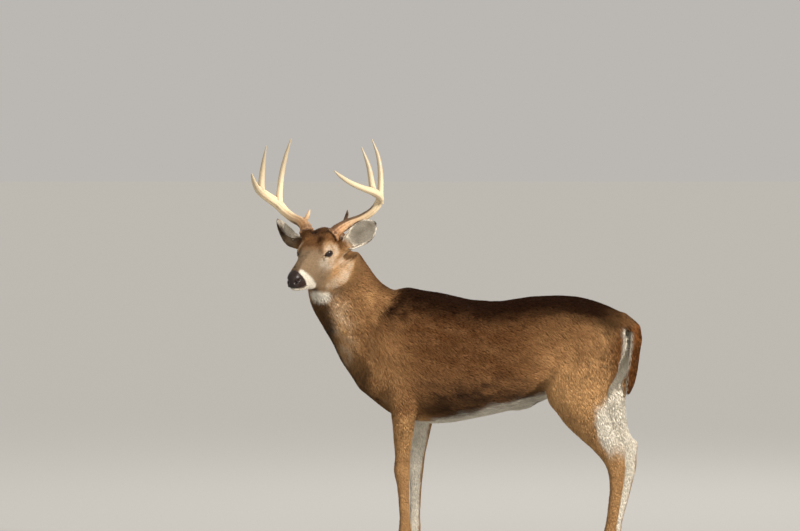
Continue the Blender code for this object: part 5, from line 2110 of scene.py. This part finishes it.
# %% Horn
def horn_finish():
    """Dark horn, paler where it is worn."""
    finish = Finish("hoof_horn")
    fine = finish.noise(0.0020, 4.0, 0.6)
    wear = finish.mask("wear")
    rings = finish.mask("rings")
    color = finish.mix(fine, linear(34, 28, 25), linear(74, 62, 52))
    color = finish.mix(wear * (0.5 + 0.5 * fine), color, linear(128, 110, 90))
    bump = finish.bump(fine + 0.15 * rings, 0.4, 0.0006)
    rough = 0.38 + 0.30 * wear + 0.10 * fine
    finish.surface(color, {"Roughness": rough, "Normal": bump})
    return finish.material


HORN = horn_finish()
horn_nodes = sorted(n for n in frame["nodes"] if "hoof" in n or "dewclaw" in n)
for name in horn_nodes:
    horn = build_horn(name)
    horn.data.materials.append(HORN)
    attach(horn, "root")
    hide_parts(name)
print("horn pieces:", len(horn_nodes))

# %% [markdown]
# ## Floor, light and camera
# A museum model is shown on a plain pale floor. A soft sun stands low to the right of the
# camera, as in winter. A weak lamp in front of the model opens the shadows, one behind it
# lights its edges, and a pale sky lights the rest. The camera stands far away with a long
# lens, a little higher than the antlers, and frames the deer from the fetlocks up.

# %% Floor
VIEW_TURN = math.radians(20)  # the camera's way round from the deer's left side
FLOOR_HALF = 60.0
FLOOR_DROP = 0.0005  # the floor lies this much below the soles
SPECK = 0.02


def floor_finish():
    """Pale grey with faint specks."""
    finish = Finish("pale_floor")
    color = finish.mix(finish.noise(SPECK, 3.0), linear(172, 172, 170), linear(177, 177, 175))
    finish.surface(color, {"Roughness": 0.9})
    return finish.material


work = bmesh.new()
bmesh.ops.create_grid(work, x_segments=8, y_segments=8, size=FLOOR_HALF)
floor = new_object("floor", finished(work, "floor"))
floor.data.materials.append(floor_finish())
floor.location.z = -FLOOR_DROP
floor.rotation_euler.z = VIEW_TURN
print("floor of", 2 * FLOOR_HALF, "m")

# %% Camera
VIEW_DROP = math.radians(2)
VIEW_DISTANCE = 23.4
VIEW_LENS = 300
VIEW_END = 100
VIEW_RIGHT = Vector((math.cos(VIEW_TURN), math.sin(VIEW_TURN), 0.0))
VIEW_AHEAD = Vector((-math.sin(VIEW_TURN), math.cos(VIEW_TURN), 0.0))
TARGET_RIGHT = 0.029  # how far right of the withers the camera aims
TARGET_HEIGHT = 1.041
TARGET = Vector(WITHERS) + VIEW_RIGHT * TARGET_RIGHT + Vector((0, 0, TARGET_HEIGHT))


def aimed(name, data, place, target):
    """A camera or lamp that looks from its place at the target."""
    thing = new_object(name, data)
    thing.location = place
    thing.rotation_euler = (target - place).to_track_quat("-Z", "Y").to_euler()
    return thing


sight = VIEW_AHEAD * math.cos(VIEW_DROP) - Vector((0, 0, math.sin(VIEW_DROP)))
camera_data = bpy.data.cameras.new("camera")
camera_data.lens = VIEW_LENS
camera_data.clip_end = VIEW_END
camera = aimed("camera", camera_data, TARGET - sight * VIEW_DISTANCE, TARGET)
bpy.context.scene.camera = camera
print("camera", round(VIEW_DISTANCE, 1), "m away and", round(camera.location.z, 2), "m high")

# %% Lamps and sky
SUN_SPREAD = math.radians(10)  # a wide sun has soft shadows
SUNLIGHT = (1.0, 0.94, 0.86)
LAMPLIGHT = (1.0, 0.96, 0.90)
LAMP_AIM = TARGET - Vector((0, 0, 0.3))
SKY = (0.92, 0.88, 0.83, 1.0)
SKY_STRENGTH = 0.54


def lamp(kind, name, place, power, color):
    """A lamp placed by the camera's own sides: to the right, back and up from the target."""
    data = bpy.data.lights.new(name, kind)
    data.energy = power
    data.color = color
    right, back, up = place
    spot = TARGET + VIEW_RIGHT * right - VIEW_AHEAD * back + Vector((0, 0, up))
    aimed(name, data, spot, LAMP_AIM)
    return data


lamp("SUN", "key", (4.6, 3.8, 2.5), 4.8, SUNLIGHT).angle = SUN_SPREAD
lamp("AREA", "fill", (-0.8, 4.8, 1.6), 40, LAMPLIGHT).size = 3.0
lamp("AREA", "rim", (1.5, -3.8, 3.4), 80, LAMPLIGHT).size = 2.0
world = bpy.data.worlds.new("studio")
world.use_nodes = True
sky = world.node_tree.nodes["Background"].inputs
sky["Color"].default_value = SKY
sky["Strength"].default_value = SKY_STRENGTH
bpy.context.scene.world = world
bpy.context.scene.view_settings.view_transform = "Standard"
print("lamps:", [light.name for light in bpy.data.lights])
